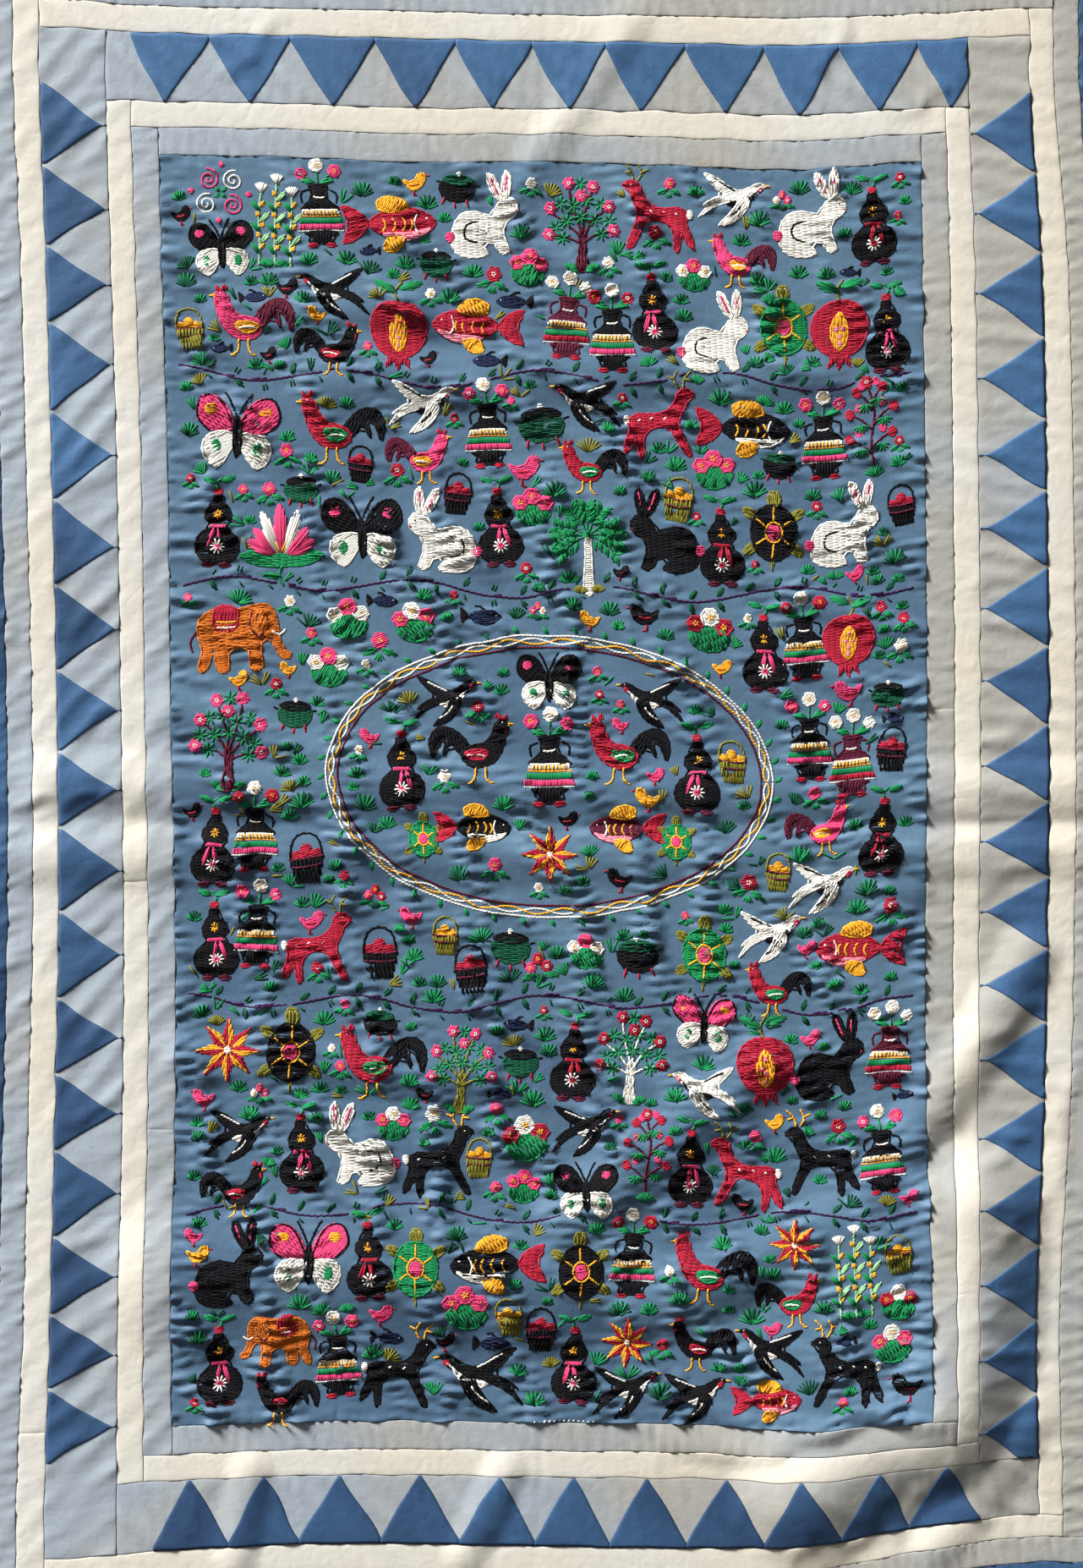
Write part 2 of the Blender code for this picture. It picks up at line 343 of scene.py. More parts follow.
def face_point(u, v, limits, relief):
    """A point on the cloth's face, lowered by ROLL at the piece's own edges, where the seam
    turns the cloth down: x, y, z and how near the seam is, 1 at the edge and 0 inside. The
    valleys of the relief flatten out, as ln(1 + exp), where the cloth is THINNEST."""
    left, right, bottom, top = limits
    x, y, z = laid(u, v)
    inside = np.minimum(np.minimum(u - left, right - u), np.minimum(v - bottom, top - v))
    seam = np.exp(-np.clip(inside, 0, None) / ROLL_WIDTH)
    over = CLOTH + relief(u, v) + dragged(x, y) - creased(x, y)
    over = THINNEST + np.logaddexp(0, 3 * (over - THINNEST)) / 3
    return x, y, z + over - ROLL * seam, seam


def cut_lines(low, high, pitch, joints=()):
    """Grid lines from seam to seam, closer beside each seam or joint. The count of cells
    between two seams is a multiple of four, so that the underside can be four times coarser."""
    marks = [low + SEAM_GAP / 2, *joints, high - SEAM_GAP / 2]
    lines = [marks[0]]
    for start, end in zip(marks, marks[1:]):
        steps = [step for step in EDGE_STEPS if step < (end - start) / 4]
        first, last = start + sum(steps[-1:]), end - sum(steps[-1:])
        cells = 4 * max(1, round(((last - first) / pitch + 2 * len(steps)) / 4)) - 2 * len(steps)
        cells += 4 * (cells <= 0)
        lines += [start + step for step in steps[:-1]] + list(np.linspace(first, last, cells + 1))
        lines += [end - step for step in reversed(steps[:-1])] + [end]
    return np.array(lines)


def closed_sheet(face, under):
    """Points and faces of a closed sheet from its face's grid and an underside grid with every fourth
    line: quads on both sides and a rim of triangles that fans each coarse edge to four."""
    rows, columns = face.shape[:2]
    top = np.arange(rows * columns).reshape(rows, columns)
    low = np.arange(under.shape[0] * under.shape[1]).reshape(under.shape[:2]) + rows * columns

    def quads(grid):
        corners = grid[:-1, :-1], grid[:-1, 1:], grid[1:, 1:], grid[1:, :-1]
        return np.stack(corners, -1).reshape(-1, 4)

    def loop(grid):
        return np.concatenate([grid[0, :-1], grid[:-1, -1], grid[-1, :0:-1], grid[:0:-1, 0]])

    fine, coarse = loop(top), loop(low)
    step = np.arange(len(fine))
    anchor = coarse[(step // 4 + (step % 4 > 1)) % len(coarse)]
    fans = np.stack([anchor, np.roll(fine, -1), fine], -1)
    joins = np.stack([coarse, np.roll(coarse, -1), fine[2::4]], -1)
    points = np.concatenate([face.reshape(-1, 3), under.reshape(-1, 3)])
    faces = quads(top).tolist() + quads(low)[:, ::-1].tolist() + fans.tolist() + joins.tolist()
    return points, faces


def lowest_near(height):
    """The lowest value within two grid lines, which keeps a coarse underside below its face."""
    for axis in (0, 1):
        first, last = height.take([0, 0], axis), height.take([-1, -1], axis)
        padded = np.concatenate([first, height, last], axis)
        shifted = [padded.take(range(step, step + height.shape[axis]), axis) for step in range(5)]
        height = np.min(shifted, axis=0)
    return height


def new_piece(name, points, faces, material, marks):
    """A mesh object at the origin, shaded smooth, that rides on the cloth's one body. marks
    is a dict of attribute name to one value for each point."""
    mesh = bpy.data.meshes.new(name)
    mesh.from_pydata(np.asarray(points) * MM, [], faces)
    for mark, values in marks.items():
        attribute = mesh.attributes.new(mark, "FLOAT", "POINT")
        attribute.data.foreach_set("value", np.asarray(values, np.float32))
    mesh.materials.append(material)
    mesh.shade_smooth()
    piece = bpy.data.objects.new(name, mesh)
    bpy.context.collection.objects.link(piece)
    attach(piece, "root")
    return piece


def cloth_piece(node, limits, relief, pitches, material, joints=()):
    """The finished sheet that stands for a CAD node: a fine face over a coarse underside."""
    left, right, bottom, top = limits
    grid = np.meshgrid(cut_lines(left, right, pitches[0]), cut_lines(bottom, top, pitches[1], joints))
    x, y, z, seam = face_point(*grid, limits, relief)
    under = np.stack([x, y, lowest_near(laid(*grid)[2])], -1)[::4, ::4]
    points, faces = closed_sheet(np.stack([x, y, z], -1), under)
    # The seam mark, 1 at a seam and 0 inside, by which the material paints shade and soiling along the
    # seams; the underside has none.
    mark = np.concatenate([seam.ravel(), np.zeros(under.shape[0] * under.shape[1])])
    piece = new_piece(node + "_cloth", points, faces, material, {"seam": mark})
    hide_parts(node)
    return piece


class Wiring:
    """Short calls that add nodes to a tree and join them."""

    def __init__(self, tree):
        self.tree = tree

    def node(self, kind, settings=None, **inputs):
        """A node with these settings. An input is given by its name, or as _0 by its number."""
        made = self.tree.nodes.new(kind)
        for name, value in (settings or {}).items():
            setattr(made, name, value)
        for name, value in inputs.items():
            key = int(name[1:]) if name[0] == "_" else name.replace("_", " ")
            if isinstance(value, bpy.types.NodeSocket):
                self.tree.links.new(value, made.inputs[key])
            else:
                made.inputs[key].default_value = value
        return made

    def math(self, operation, first, second=0.0):
        return self.node("ShaderNodeMath", {"operation": operation}, _0=first, _1=second).outputs[0]

    def add(self, first, second):
        return self.math("ADD", first, second)

    def less(self, first, second):
        return self.math("SUBTRACT", first, second)

    def times(self, first, second):
        return self.math("MULTIPLY", first, second)

    def noise(self, place, scale, detail=2.0, rough=0.5):
        return self.node("ShaderNodeTexNoise", None, Vector=place, Scale=scale, Detail=detail,
                         Roughness=rough).outputs["Fac"]

    def blend(self, mask, first, second, kind="MIX"):
        made = self.node("ShaderNodeMix", {"data_type": "RGBA", "blend_type": kind},
                         _0=mask, _6=first, _7=second)
        return made.outputs[2]

    def grey(self, value):
        return self.node("ShaderNodeCombineColor", None, Red=value, Green=value, Blue=value).outputs[0]

    def mark(self, name):
        return self.node("ShaderNodeAttribute", {"attribute_name": name}).outputs["Fac"]


def woven_cloth_group():
    """Plain weave in dyed yarn. Height: the product of two sine waves, one for each set of
    yarns, broken up by thick and thin yarns, over faint crumples about 2 cm apart. Colour: the
    dye, faded in clouds, mottled at three scales and darker where the seam mark is high, which
    is painted shade, with some soiling, along the seams and round the teeth."""
    group = bpy.data.node_groups.new("woven_cloth", "ShaderNodeTree")
    for name, kind, value in (("Dye", "Color", (0.5, 0.5, 0.5, 1)),
                              ("Faded", "Color", (0.5, 0.5, 0.5, 1)),
                              ("Lean", "Vector", (0, 0, 0)), ("Yarn", "Float", 0.5),
                              ("Mottle", "Float", 0.1), ("Seam", "Float", 0.3)):
        socket = group.interface.new_socket(name, in_out="INPUT", socket_type="NodeSocket" + kind)
        socket.default_value = value
    for name, kind in (("Colour", "Color"), ("Height", "Float"), ("Gloss", "Float")):
        group.interface.new_socket(name, in_out="OUTPUT", socket_type="NodeSocket" + kind)
    wire = Wiring(group)
    given = wire.node("NodeGroupInput").outputs
    place = wire.node("ShaderNodeTexCoord").outputs["Object"]
    apart = wire.node("ShaderNodeSeparateXYZ", None, Vector=place).outputs
    turns = wire.math("DIVIDE", 2 * np.pi / MM, given["Yarn"])
    weave = wire.times(wire.math("SINE", wire.times(apart["X"], turns)),
                       wire.math("SINE", wire.times(apart["Y"], turns)))
    level, upright = (wire.node("ShaderNodeMapping", None, Vector=place, Scale=scale).outputs[0]
                      for scale in ((25, 900, 1), (900, 25, 1)))
    yarns = wire.add(wire.noise(level, 1.0, 1.0), wire.noise(upright, 1.0, 1.0))
    crumples = wire.math("ABSOLUTE", wire.less(wire.noise(place, 52.0), 0.5))
    height = wire.add(wire.add(wire.times(weave, 0.5), yarns), wire.times(crumples, 22.0))
    clouds = wire.less(wire.noise(place, 9.0, 3.0), 0.5)
    grain = wire.less(wire.noise(place, 420.0, 3.0, 0.7), 0.5)
    mottled = wire.add(wire.times(clouds, 1.3), wire.add(wire.times(grain, 1.9), wire.less(yarns, 1.0)))
    shade = wire.add(wire.times(mottled, given["Mottle"]), 1.0)
    # Painted shade, with some soiling, along the seams and round the teeth: darker where the seam mark
    # is high.
    dark = wire.less(1.0, wire.times(wire.math("POWER", wire.mark("seam"), 1.6), given["Seam"]))
    # Across the cloth the colour shifts towards the faded dye where Lean points: paler for the blues
    # and the cream, bluer for the grey.
    lean = wire.node("ShaderNodeVectorMath", {"operation": "DOT_PRODUCT"}, _0=place, _1=given["Lean"])
    drift = wire.add(wire.times(wire.noise(place, 5.0), 3.2), wire.less(lean.outputs["Value"], 1.1))
    faded = wire.node("ShaderNodeClamp", None, Value=drift).outputs[0]
    dyed = wire.blend(faded, given["Dye"], given["Faded"])
    colour = wire.blend(1.0, dyed, wire.grey(wire.times(shade, dark)), "MULTIPLY")
    wire.node("NodeGroupOutput", None, Colour=colour, Height=height, Gloss=wire.times(clouds, 0.2))
    return group


def paint(red, green, blue):
    """Linear colour of a shade given in display values from 0 to 255."""
    value = np.array([red, green, blue]) / 255
    return (*np.where(value < 0.04, value / 12.92, ((value + 0.055) / 1.055) ** 2.4), 1.0)


def set_shader(wire, **values):
    """Gives a material's shader a constant or an output for each named socket."""
    shader = wire.tree.nodes["Principled BSDF"]
    for name, value in values.items():
        socket = shader.inputs[name.replace("_", " ")]
        if isinstance(value, bpy.types.NodeSocket):
            wire.tree.links.new(value, socket)
        else:
            socket.default_value = value


def new_material(name):
    """A material with its nodes on, and its wiring."""
    material = bpy.data.materials.new(name)
    material.use_nodes = True
    return material, Wiring(material.node_tree)


woven = woven_cloth_group()


def cloth_material(name, dye, faded, lean, mottle, seam, roughness):
    """A smooth cotton blend: woven colour and relief, with a faint sheen from its nap. The dye
    is faded in clouds, and across the cloth it shifts further to the faded dye towards where lean
    points."""
    material, wire = new_material(name)
    # seam sets how strongly the seams and tooth edges are darkened: painted shade, with some soiling.
    cloth = wire.node("ShaderNodeGroup", {"node_tree": woven}, Dye=paint(*dye), Faded=paint(*faded),
                      Lean=lean, Yarn=0.55, Mottle=mottle, Seam=seam).outputs
    bump = wire.node("ShaderNodeBump", None, Strength=0.35, Distance=0.12 * MM, Height=cloth["Height"])
    set_shader(wire, Base_Color=cloth["Colour"], Roughness=wire.add(cloth["Gloss"], roughness),
               Normal=bump.outputs[0], Sheen_Weight=0.12, Sheen_Roughness=0.4, Specular_IOR_Level=0.35)
    return material


panel_blue = cloth_material("panel_blue_cloth", (85, 115, 145), (98, 131, 158), (0.3, 0.3, 0),
                            0.16, 0.5, 0.55)
panel_limits = (-PANEL_WIDTH / 2, PANEL_WIDTH / 2, -PANEL_LENGTH / 2, PANEL_LENGTH / 2)
panel = cloth_piece("centre_panel", panel_limits, panel_relief, (4.4, 2.7), panel_blue)

# ---------------------------------------------------------------------------------------
# Strips: six rings of cotton blend cut on the straight, each sewn face to face along its
# inner edge and turned out. The left strip runs the whole height, the top one butts against
# it, the right one covers the top one's end and the bottom one covers the right one's end.
# ---------------------------------------------------------------------------------------
# cloth: dye, faded dye, the way across the cloth in which it shifts more to the faded dye,
# mottling, strength of the painted shade and soiling along seams and round the teeth, roughness
DYES = {
    "grey": ((187, 185, 177), (176, 187, 198), (-1.1, 0, 0), 0.10, 0.42, 0.6),
    "cream": ((240, 232, 214), (240, 237, 229), (-0.4, 0, 0), 0.05, 0.32, 0.6),
    "edge_blue": ((51, 81, 120), (73, 115, 161), (0.5, 0.5, 0), 0.22, 0.65, 0.55),
}
# Some strips are pieced from shorter lengths: the strip and where its joints lie along it.
PIECED = {"inner_cream_left": (-84,), "inner_grey_right": (76,), "inner_grey_left": (-318,),
          "outer_cream_left": (-600,), "inner_cream_right": (-478, -375, -362)}
# Pitch of a strip's grid along it and across it.
LENGTHWAYS = 3.5
CROSSWAYS = 5.4


def strip_relief(width, pucker, upright, limits, joints, seed):
    """Relief of one strip: puckers square to its seams, strongest beside them, slanting drag
    lines, and a nick across it at each joint, which is 0.8 * exp(-distance / 0.8 mm) deep."""
    left, right, bottom, top = limits
    heading, aslant = (108, 28) if upright else (12, 35)
    slant = heading + aslant * (1 if left < 0 else -1)

    def relief(u, v):
        to_seam = np.minimum(u - left, right - u) if upright else np.minimum(v - bottom, top - v)
        beside = 0.45 + 0.9 * np.exp(-to_seam / (0.2 * width + 2))
        puckers = pucker * beside * waves(u, v, 8 + width / 9, 26, heading, seed, 24)
        drags = (0.7 * pucker + 0.005 * width) * waves(u, v, 28, 90, slant, seed + 1, 14)
        nicks = sum(0.8 * np.exp(-np.abs(v - joint) / 0.8) for joint in joints)
        return puckers + drags - nicks

    return relief


strip_materials = {cloth: cloth_material(cloth + "_cloth", *dye) for cloth, dye in DYES.items()}
strips = {}
for index, (ring, width, cloth, pucker) in enumerate(RINGS):
    in_u, out_u, in_v, out_v = *side_edges[index:index + 2], *end_edges[index:index + 2]
    for turn, (side, limits) in enumerate((
            ("left", (-out_u, -in_u, -out_v, out_v)), ("top", (-in_u, in_u, in_v, out_v)),
            ("right", (in_u, out_u, -in_v, out_v)), ("bottom", (-in_u, out_u, -out_v, -in_v)))):
        name = ring + "_" + side
        upright = side in ("left", "right")
        joints = PIECED.get(name, ())
        relief = strip_relief(width, pucker, upright, limits, joints, 100 + 10 * index + 2 * turn)
        pitches = (CROSSWAYS, LENGTHWAYS) if upright else (LENGTHWAYS, CROSSWAYS)
        piece = cloth_piece(name, limits, relief, pitches, strip_materials[cloth], joints)
        strips[name] = (piece, limits, relief)

# ---------------------------------------------------------------------------------------
# Teeth: fifty-seven blue triangles on the grey band, their points to the panel. Each side's
# row is snipped from one strip, its edges turned under and slip-stitched down by hand, so it
# stands a little over the grey, and it stays in one piece along the band's outer seam.
# ---------------------------------------------------------------------------------------
# Where each row starts along its band, where the point of each tooth lies, and where it ends.
TEETH = {
    "left": (666, 624, 544, 472, 398, 311, 224, 146, 70, -6, -82, -162, -241, -312, -388, -467,
             -541, -609, -645),
    "right": (655, 616, 539, 465, 384, 311, 242, 166, 98, 18, -54, -120, -189, -259, -334, -400,
              -470, -541, -610, -650),
    "top": (-389, -357, -276, -198, -120, -47, 26, 94, 174, 243, 320, 387, 420),
    "bottom": (-367, -333, -263, -191, -115, -40, 30, 100, 175, 245, 319, 381, 414),
}
# The uncut root along the outer seam, and the room left round a row.
TOOTH_ROOT = 3.2
TOOTH_MARGIN = 0.4
# Its height over the grey, how soon its edge is that high, how far the edge is sunk, and how
# far its underside lies below its own face and the grey's.
TOOTH_HEIGHT = 1.1
TOOTH_ROLL = 0.5
TOOTH_SUNK = 0.25
TOOTH_SKIN = 0.3
# Grid lines from the middle of a tooth to its edge, closer towards the edge.
TOOTH_LINES = (0.16, 0.32, 0.48, 0.64, 0.78, 0.9, 0.97, 1)
SLIP_STITCH = 4.5


def cut_from_laid(side, along, edge):
    """Cut position of a point given where it lies along a band: the drift taken off twice."""
    upright = side in ("left", "right")
    flat_u, flat_v = (edge, along) if upright else (along, edge)
    for _ in range(2):
        x, y = drifted(np.array([flat_u], float), np.array([flat_v], float))
        if upright:
            flat_v += along - y[0]
        else:
            flat_u += along - x[0]
    return flat_v if upright else flat_u


def tooth(side, limits, relief, first, point, last, bend, dip):
    """One tooth as a closed sheet. s runs from the band's outer seam, 0, to the point, 1, and
    t across it from -1 to 1. Its sides run straight from root to point but for a slight bulge,
    sin(pi s), and an S, bend * sin(2 pi s). Its face stands TOOTH_HEIGHT over the grey inside
    its rolled edge, which each slip stitch nips."""
    left, right, bottom, top = limits
    s = np.linspace(0, 1, 25)[:, None]
    t = np.array([-step for step in reversed(TOOTH_LINES)] + [0, *TOOTH_LINES])[None, :]
    depth = right - left if side in ("left", "right") else top - bottom
    share = np.clip((s * depth - TOOTH_ROOT) / (depth - TOOTH_ROOT - 0.5), 0, 1)
    sway = bend * np.sin(2 * np.pi * share) + 0.9 * np.sin(np.pi * share)
    start = first - 1.2 + (point - 0.6 - first) * share - sway
    end = last + 1.2 + (point + 0.6 - last) * share + sway - dip * np.sin(2 * np.pi * share)
    along = start + (end - start) * (t + 1) / 2
    reach = TOOTH_MARGIN + s * (depth - 2 * TOOTH_MARGIN) + 0 * t
    if side == "left":
        u, v = left + reach, along
    elif side == "right":
        u, v = right - reach, along
    elif side == "top":
        u, v = along, top - reach
    else:
        u, v = along, bottom + reach
    u = np.clip(u, left + TOOTH_MARGIN, right - TOOTH_MARGIN)
    v = np.clip(v, bottom + TOOTH_MARGIN, top - TOOTH_MARGIN)
    inside = np.abs(end - start) / 2 * (1 - np.abs(t))
    height = TOOTH_HEIGHT * (1 - np.exp(-inside / TOOTH_ROLL)) - TOOTH_SUNK
    nip = 0.12 * np.exp(-inside / 1.5) * np.cos(2 * np.pi * s * depth / SLIP_STITCH)
    puff = 0.25 * np.sin(np.pi * share) * (1 - t**2)
    x, y, z, seam = face_point(u, v, limits, relief)
    face = np.stack([x, y, z + height + nip + puff], -1)
    under = np.stack([x, y, lowest_near(z + np.minimum(height - TOOTH_SKIN, -TOOTH_SKIN))], -1)
    points, faces = closed_sheet(face, under[::4, ::4])
    # On two of the sides the grid runs the other way round, and its faces are turned over.
    across, up = face[8, 10] - face[8, 6], face[12, 8] - face[8, 8]
    if across[0] * up[1] - across[1] * up[0] < 0:
        faces = [corner[::-1] for corner in faces]
    # The seam mark also rises within about a millimetre of the tooth's own edge, so that the material
    # paints a shadow line round each tooth.
    edge = np.maximum(seam, np.exp(-np.minimum(inside, 9) / 0.8))
    return points, faces, np.concatenate([edge.ravel(), np.ones(len(points) - edge.size)])


for side, along_band in TEETH.items():
    _, limits, relief = strips["tooth_band_" + side]
    outer_seam = limits[("left", "right", "bottom", "top").index(side)]
    first, *tips, last = (cut_from_laid(side, mark, outer_seam) for mark in along_band)
    dice = np.random.default_rng(len(tips) + len(side))
    roots = [(tip + next_tip) / 2 + dice.uniform(-3, 3) for tip, next_tip in zip(tips, tips[1:])]
    points, faces, shade_and_soil_marks = [], [], []
    for root, tip, next_root in zip([first, *roots], tips, [*roots, last]):
        bend, dip = dice.uniform(-0.8, 0.6), dice.uniform(-1.0, 1.4)
        more, corners, edge = tooth(side, limits, relief, root, tip, next_root, bend, dip)
        faces += [[corner + len(points) for corner in face] for face in corners]
        points += more.tolist()
        shade_and_soil_marks += edge.tolist()
    row = new_piece("teeth_" + side, points, faces, strip_materials["edge_blue"], {"seam": shade_and_soil_marks})

# ---------------------------------------------------------------------------------------
# Embroidery: motifs worked by hand in cotton thread on the panel before it was framed.
# Shapes are filled with rows of straight stitches, lines are stem stitch, and each motif is
# written once, in its own millimetres from its middle, as a list of (thread, stitches).
# ---------------------------------------------------------------------------------------
# Pitch of a fill's rows, its longest stitch, the least that is stitched, how near a row's end
# it is split, how far stitches end to end run into each other, and the area past which a fill
# has a line round it.
ROW = 1.25
REACH = 9.5
LEAST = 0.8
NEAR_END = 1.5
LAP = 0.7
EDGED = 90


def smooth(points, closed=True, steps=8):
    """Points along a Catmull-Rom curve through the given ones."""
    points = np.array(points, float)
    if closed:
        before, after, last = np.roll(points, 1, 0), np.roll(points, -1, 0), np.roll(points, -2, 0)
    else:
        padded = np.concatenate([2 * points[:1] - points[1:2], points, 2 * points[-1:]
                                 - points[-2:-1]])
        before, points, after, last = padded[:-3], padded[1:-2], padded[2:-1], padded[3:]
    s = (np.arange(steps) / steps)[None, :, None]
    p0, p1, p2, p3 = (part[:, None] for part in (before, points, after, last))
    curve = 0.5 * (2 * p1 + (p2 - p0) * s + (2 * p0 - 5 * p1 + 4 * p2 - p3) * s**2
                   + (3 * p1 - 3 * p2 + p3 - p0) * s**3)
    return curve.reshape(-1, 2) if closed else np.concatenate([curve.reshape(-1, 2), after[-1:]])


def turned(points, angle, size=1.0):
    """Points turned about their origin, in degrees, and scaled."""
    c, s = np.cos(np.radians(angle)) * size, np.sin(np.radians(angle)) * size
    return np.asarray(points, float) @ np.array([[c, s], [-s, c]])


def fill(thread, outline, slant=0.0, row=ROW):
    """Satin stitch over a closed outline: parallel rows a stitch apart, each split into
    stitches about REACH long, with every second row staggered by half a stitch. A smooth
    shape, of more than 15 points, also gets a line round it if it is larger than EDGED."""
    outline = turned(outline, -slant)
    x0, y0 = outline.T
    x1, y1 = np.roll(outline, -1, 0).T
    stitches = []
    heights = np.arange(y0.min() + row * 0.45, y0.max(), row)
    for count, height in enumerate(heights):
        crossing = (y0 > height) != (y1 > height)
        at = x0 + (height - y0) * (x1 - x0) / np.where(y1 == y0, 1, y1 - y0)
        ends = np.sort(at[crossing])
        for start, end in zip(ends[::2], ends[1::2]):
            if end - start > LEAST:
                shift = REACH / 2 * (count % 2)
                first = np.ceil((start + NEAR_END - shift) / REACH) * REACH + shift
                cuts = np.arange(first, end - NEAR_END, REACH)
                marks = np.concatenate([[start], cuts, [end]])
                stitches += [(a - LAP * (a > start), height, b + LAP * (b < end), height)
                             for a, b in zip(marks, marks[1:])]
    stitches = turned(np.array(stitches).reshape(-1, 2, 2), slant)
    area = abs(np.sum(x0 * y1 - x1 * y0)) / 2
    if area > EDGED and len(outline) > 15:
        outline = turned(outline, slant)
        around = outline[np.arange(len(outline) + 1) % len(outline)]
        stitches = np.concatenate([stitches, line(thread, around, 6.0, 0.2)[1]])
    return thread, stitches


def patch(thread, points, *how):
    """Satin stitch over the smooth closed curve through the points."""
    return fill(thread, smooth(points), *how)


def both_sides(half):
    """An upright shape's outline from its left half."""
    return half + [(-x, y) for x, y in reversed(half) if x]


def dash(thread, *ends):
    """Single straight stitches, each from x, from y, to x, to y."""
    return thread, np.array(ends, float).reshape(-1, 2, 2)


def oval(x, y, across, up, turn=0.0):
    """Closed outline of an oval with these half sizes."""
    angle = np.arange(28) * 2 * np.pi / 28
    return turned(np.stack([across * np.cos(angle), up * np.sin(angle)], -1), turn) + (x, y)


OVERRUN = 0.9


def line(thread, points, step=3.6, lean=0.3):
    """Stem stitch along a smooth curve, one stitch for each step: both its ends run past its
    marks by OVERRUN, and it leans from the line's right to its left, so the row reads as a cord."""
    path = smooth(points, closed=False, steps=14)
    run = np.concatenate([[0], np.cumsum(np.hypot(*np.diff(path, axis=0).T))])
    count = max(1, round(run[-1] / step))
    marks = np.linspace(0, run[-1], count + 1)
    starts, ends = (np.stack([np.interp(at, run, path[:, axis]) for axis in (0, 1)], -1)
                    for at in (marks[:-1] - OVERRUN, marks[1:] + OVERRUN))
    along = ends - starts
    side = np.stack([-along[:, 1], along[:, 0]], -1) / np.maximum(np.hypot(*along.T), 1e-6)[:, None]
    return thread, np.stack([starts - side * lean, ends + side * lean], 1)


def fan(thread, x, y, inner, outer, first, last, count):
    """Straight stitches that spread from a point, between two angles in degrees."""
    angle = np.radians(np.linspace(first, last, count))
    heading = np.stack([np.cos(angle), np.sin(angle)], -1)
    return thread, np.stack([heading * inner, heading * outer], 1) + (x, y)


def leaf(thread, x, y, long, wide, turn):
    """A pointed leaf from its stalk end: stitches side by side, the middle one longest."""
    count = max(2, round(wide / ROW))
    side = (np.arange(count) - (count - 1) / 2) * ROW
    trim = long * 0.5 * (np.abs(side) / (wide / 2)) ** 2
    blades = np.stack([np.stack([trim * 0.6, side * 0.7], -1), np.stack([long - trim, side], -1)],
                      1)
    return thread, turned(blades, turn) + (x, y)


def petals(thread, x, y, inner, long, wide, count, first=0.0):
    """A ring of pointed petals round a point."""
    return [leaf(thread, x + inner * np.cos(a), y + inner * np.sin(a), long, wide, np.degrees(a))
            for a in np.radians(first) + np.arange(count) * 2 * np.pi / count]


def blossom(x, y, size, outer, heart):
    """A round flower: a scalloped disc, worked across, with a dotted heart."""
    angle = np.arange(40) * 2 * np.pi / 40
    rim = size * (1 + 0.10 * np.cos(6 * angle))
    return [fill(outer, np.stack([rim * np.cos(angle), rim * np.sin(angle)], -1) + (x, y), 20),
            fan(heart, x, y, 0.2, size * 0.42, 0, 288, 5)]


def sprig(thread, x, y, size, turn=90.0):
    """A small spray of leaves."""
    return [fan(thread, x, y, 0.5, size, turn - 66, turn + 66, 9)]


def jar(body, first, flower):
    """A banded jar on a foot, with three flowers in it."""
    stems = [(-1, 20), (-6, 28), (-13, 33)], [(0, 20), (1, 34)], [(1, 20), (6, 27), (13, 31)]
    parts = [line("green", stem) for stem in stems]
    for x, y, size, outer, heart in ((-14, 34, 5.4, flower, "gold"), (1, 39, 5.8, "white", "gold"),
                                     (14, 32, 5.2, flower, "white")):
        parts += blossom(x, y, size, outer, heart)
    parts += [leaf("green", -2, 24, 12, 4.5, 165), leaf("green", 3, 24, 12, 4.5, 12)]
    parts.append(patch(body, both_sides([(-8, 22), (-5.5, 16), (-6.5, 10), (-13, 5), (-15, 1)])))
    bands = (("white", 2.5, -2.5, 14.5, 16.5), ("gold", -2.5, -5, 16.5, 17),
             ("green", -5, -10, 17, 18.5), (first, -10, -15, 18.5, 19.5),
             ("white", -15, -17, 19.5, 19.5))
    for thread, high, low, wide_high, wide_low in bands:
        band = [(-wide_high, high), (wide_high, high), (wide_low, low), (-wide_low, low)]
        parts.append(fill(thread, band, 90))
    parts.append(dash("gold", *((x, -3, x + 1, 1.5) for x in range(-13, 14, 3))))
    parts += [patch(body, both_sides([(-14, -17), (-8, -22), (-11, -27)]), 90),
              fill("crimson", oval(-8, -28.5, 5, 1.8)), fill("crimson", oval(8, -28.5, 5, 1.8)),
              line("white", [(-5, 12), (0, 10.5), (5, 12)]),
              line(body, [(-8, 18), (-15, 16), (-14, 7)]), line(body, [(8, 18), (15, 16), (14, 7)])]
    return parts


def gourd(body, sash):
    """A bottle gourd tied at the waist with a sash."""
    parts = [patch(body, both_sides([(-4, 27), (-4, 21), (-10, 15), (-11, 8), (-6, 2), (-15, -5),
                                     (-18, -15), (-13, -25), (0, -28)]))]
    parts += [fill(sash, [(-6, 4), (6, 4), (7, 0.5), (-7, 0.5)], 90), leaf(sash, 3, 1, 17, 4, -72),
              leaf(sash, 0, 1, 14, 3.6, -100), fill("crimson", oval(0, 30, 4.2, 3)),
              line("green", [(0, 32), (3, 37), (-3, 41)]), leaf("green", 1, 37, 13, 5, 18),
              leaf("green", -2, 38, 12, 5, 160), fill("maroon", oval(-7, -29, 5.5, 2.2)),
              fill("maroon", oval(7, -29, 5.5, 2.2)), fan("gold", 0, 12, 0.3, 4.2, 0, 315, 8),
              fan("white", 0, -14, 0.3, 6.5, 0, 324, 10), fan(sash, 0, -14, 0.2, 3, 18, 342, 10)]
    return parts


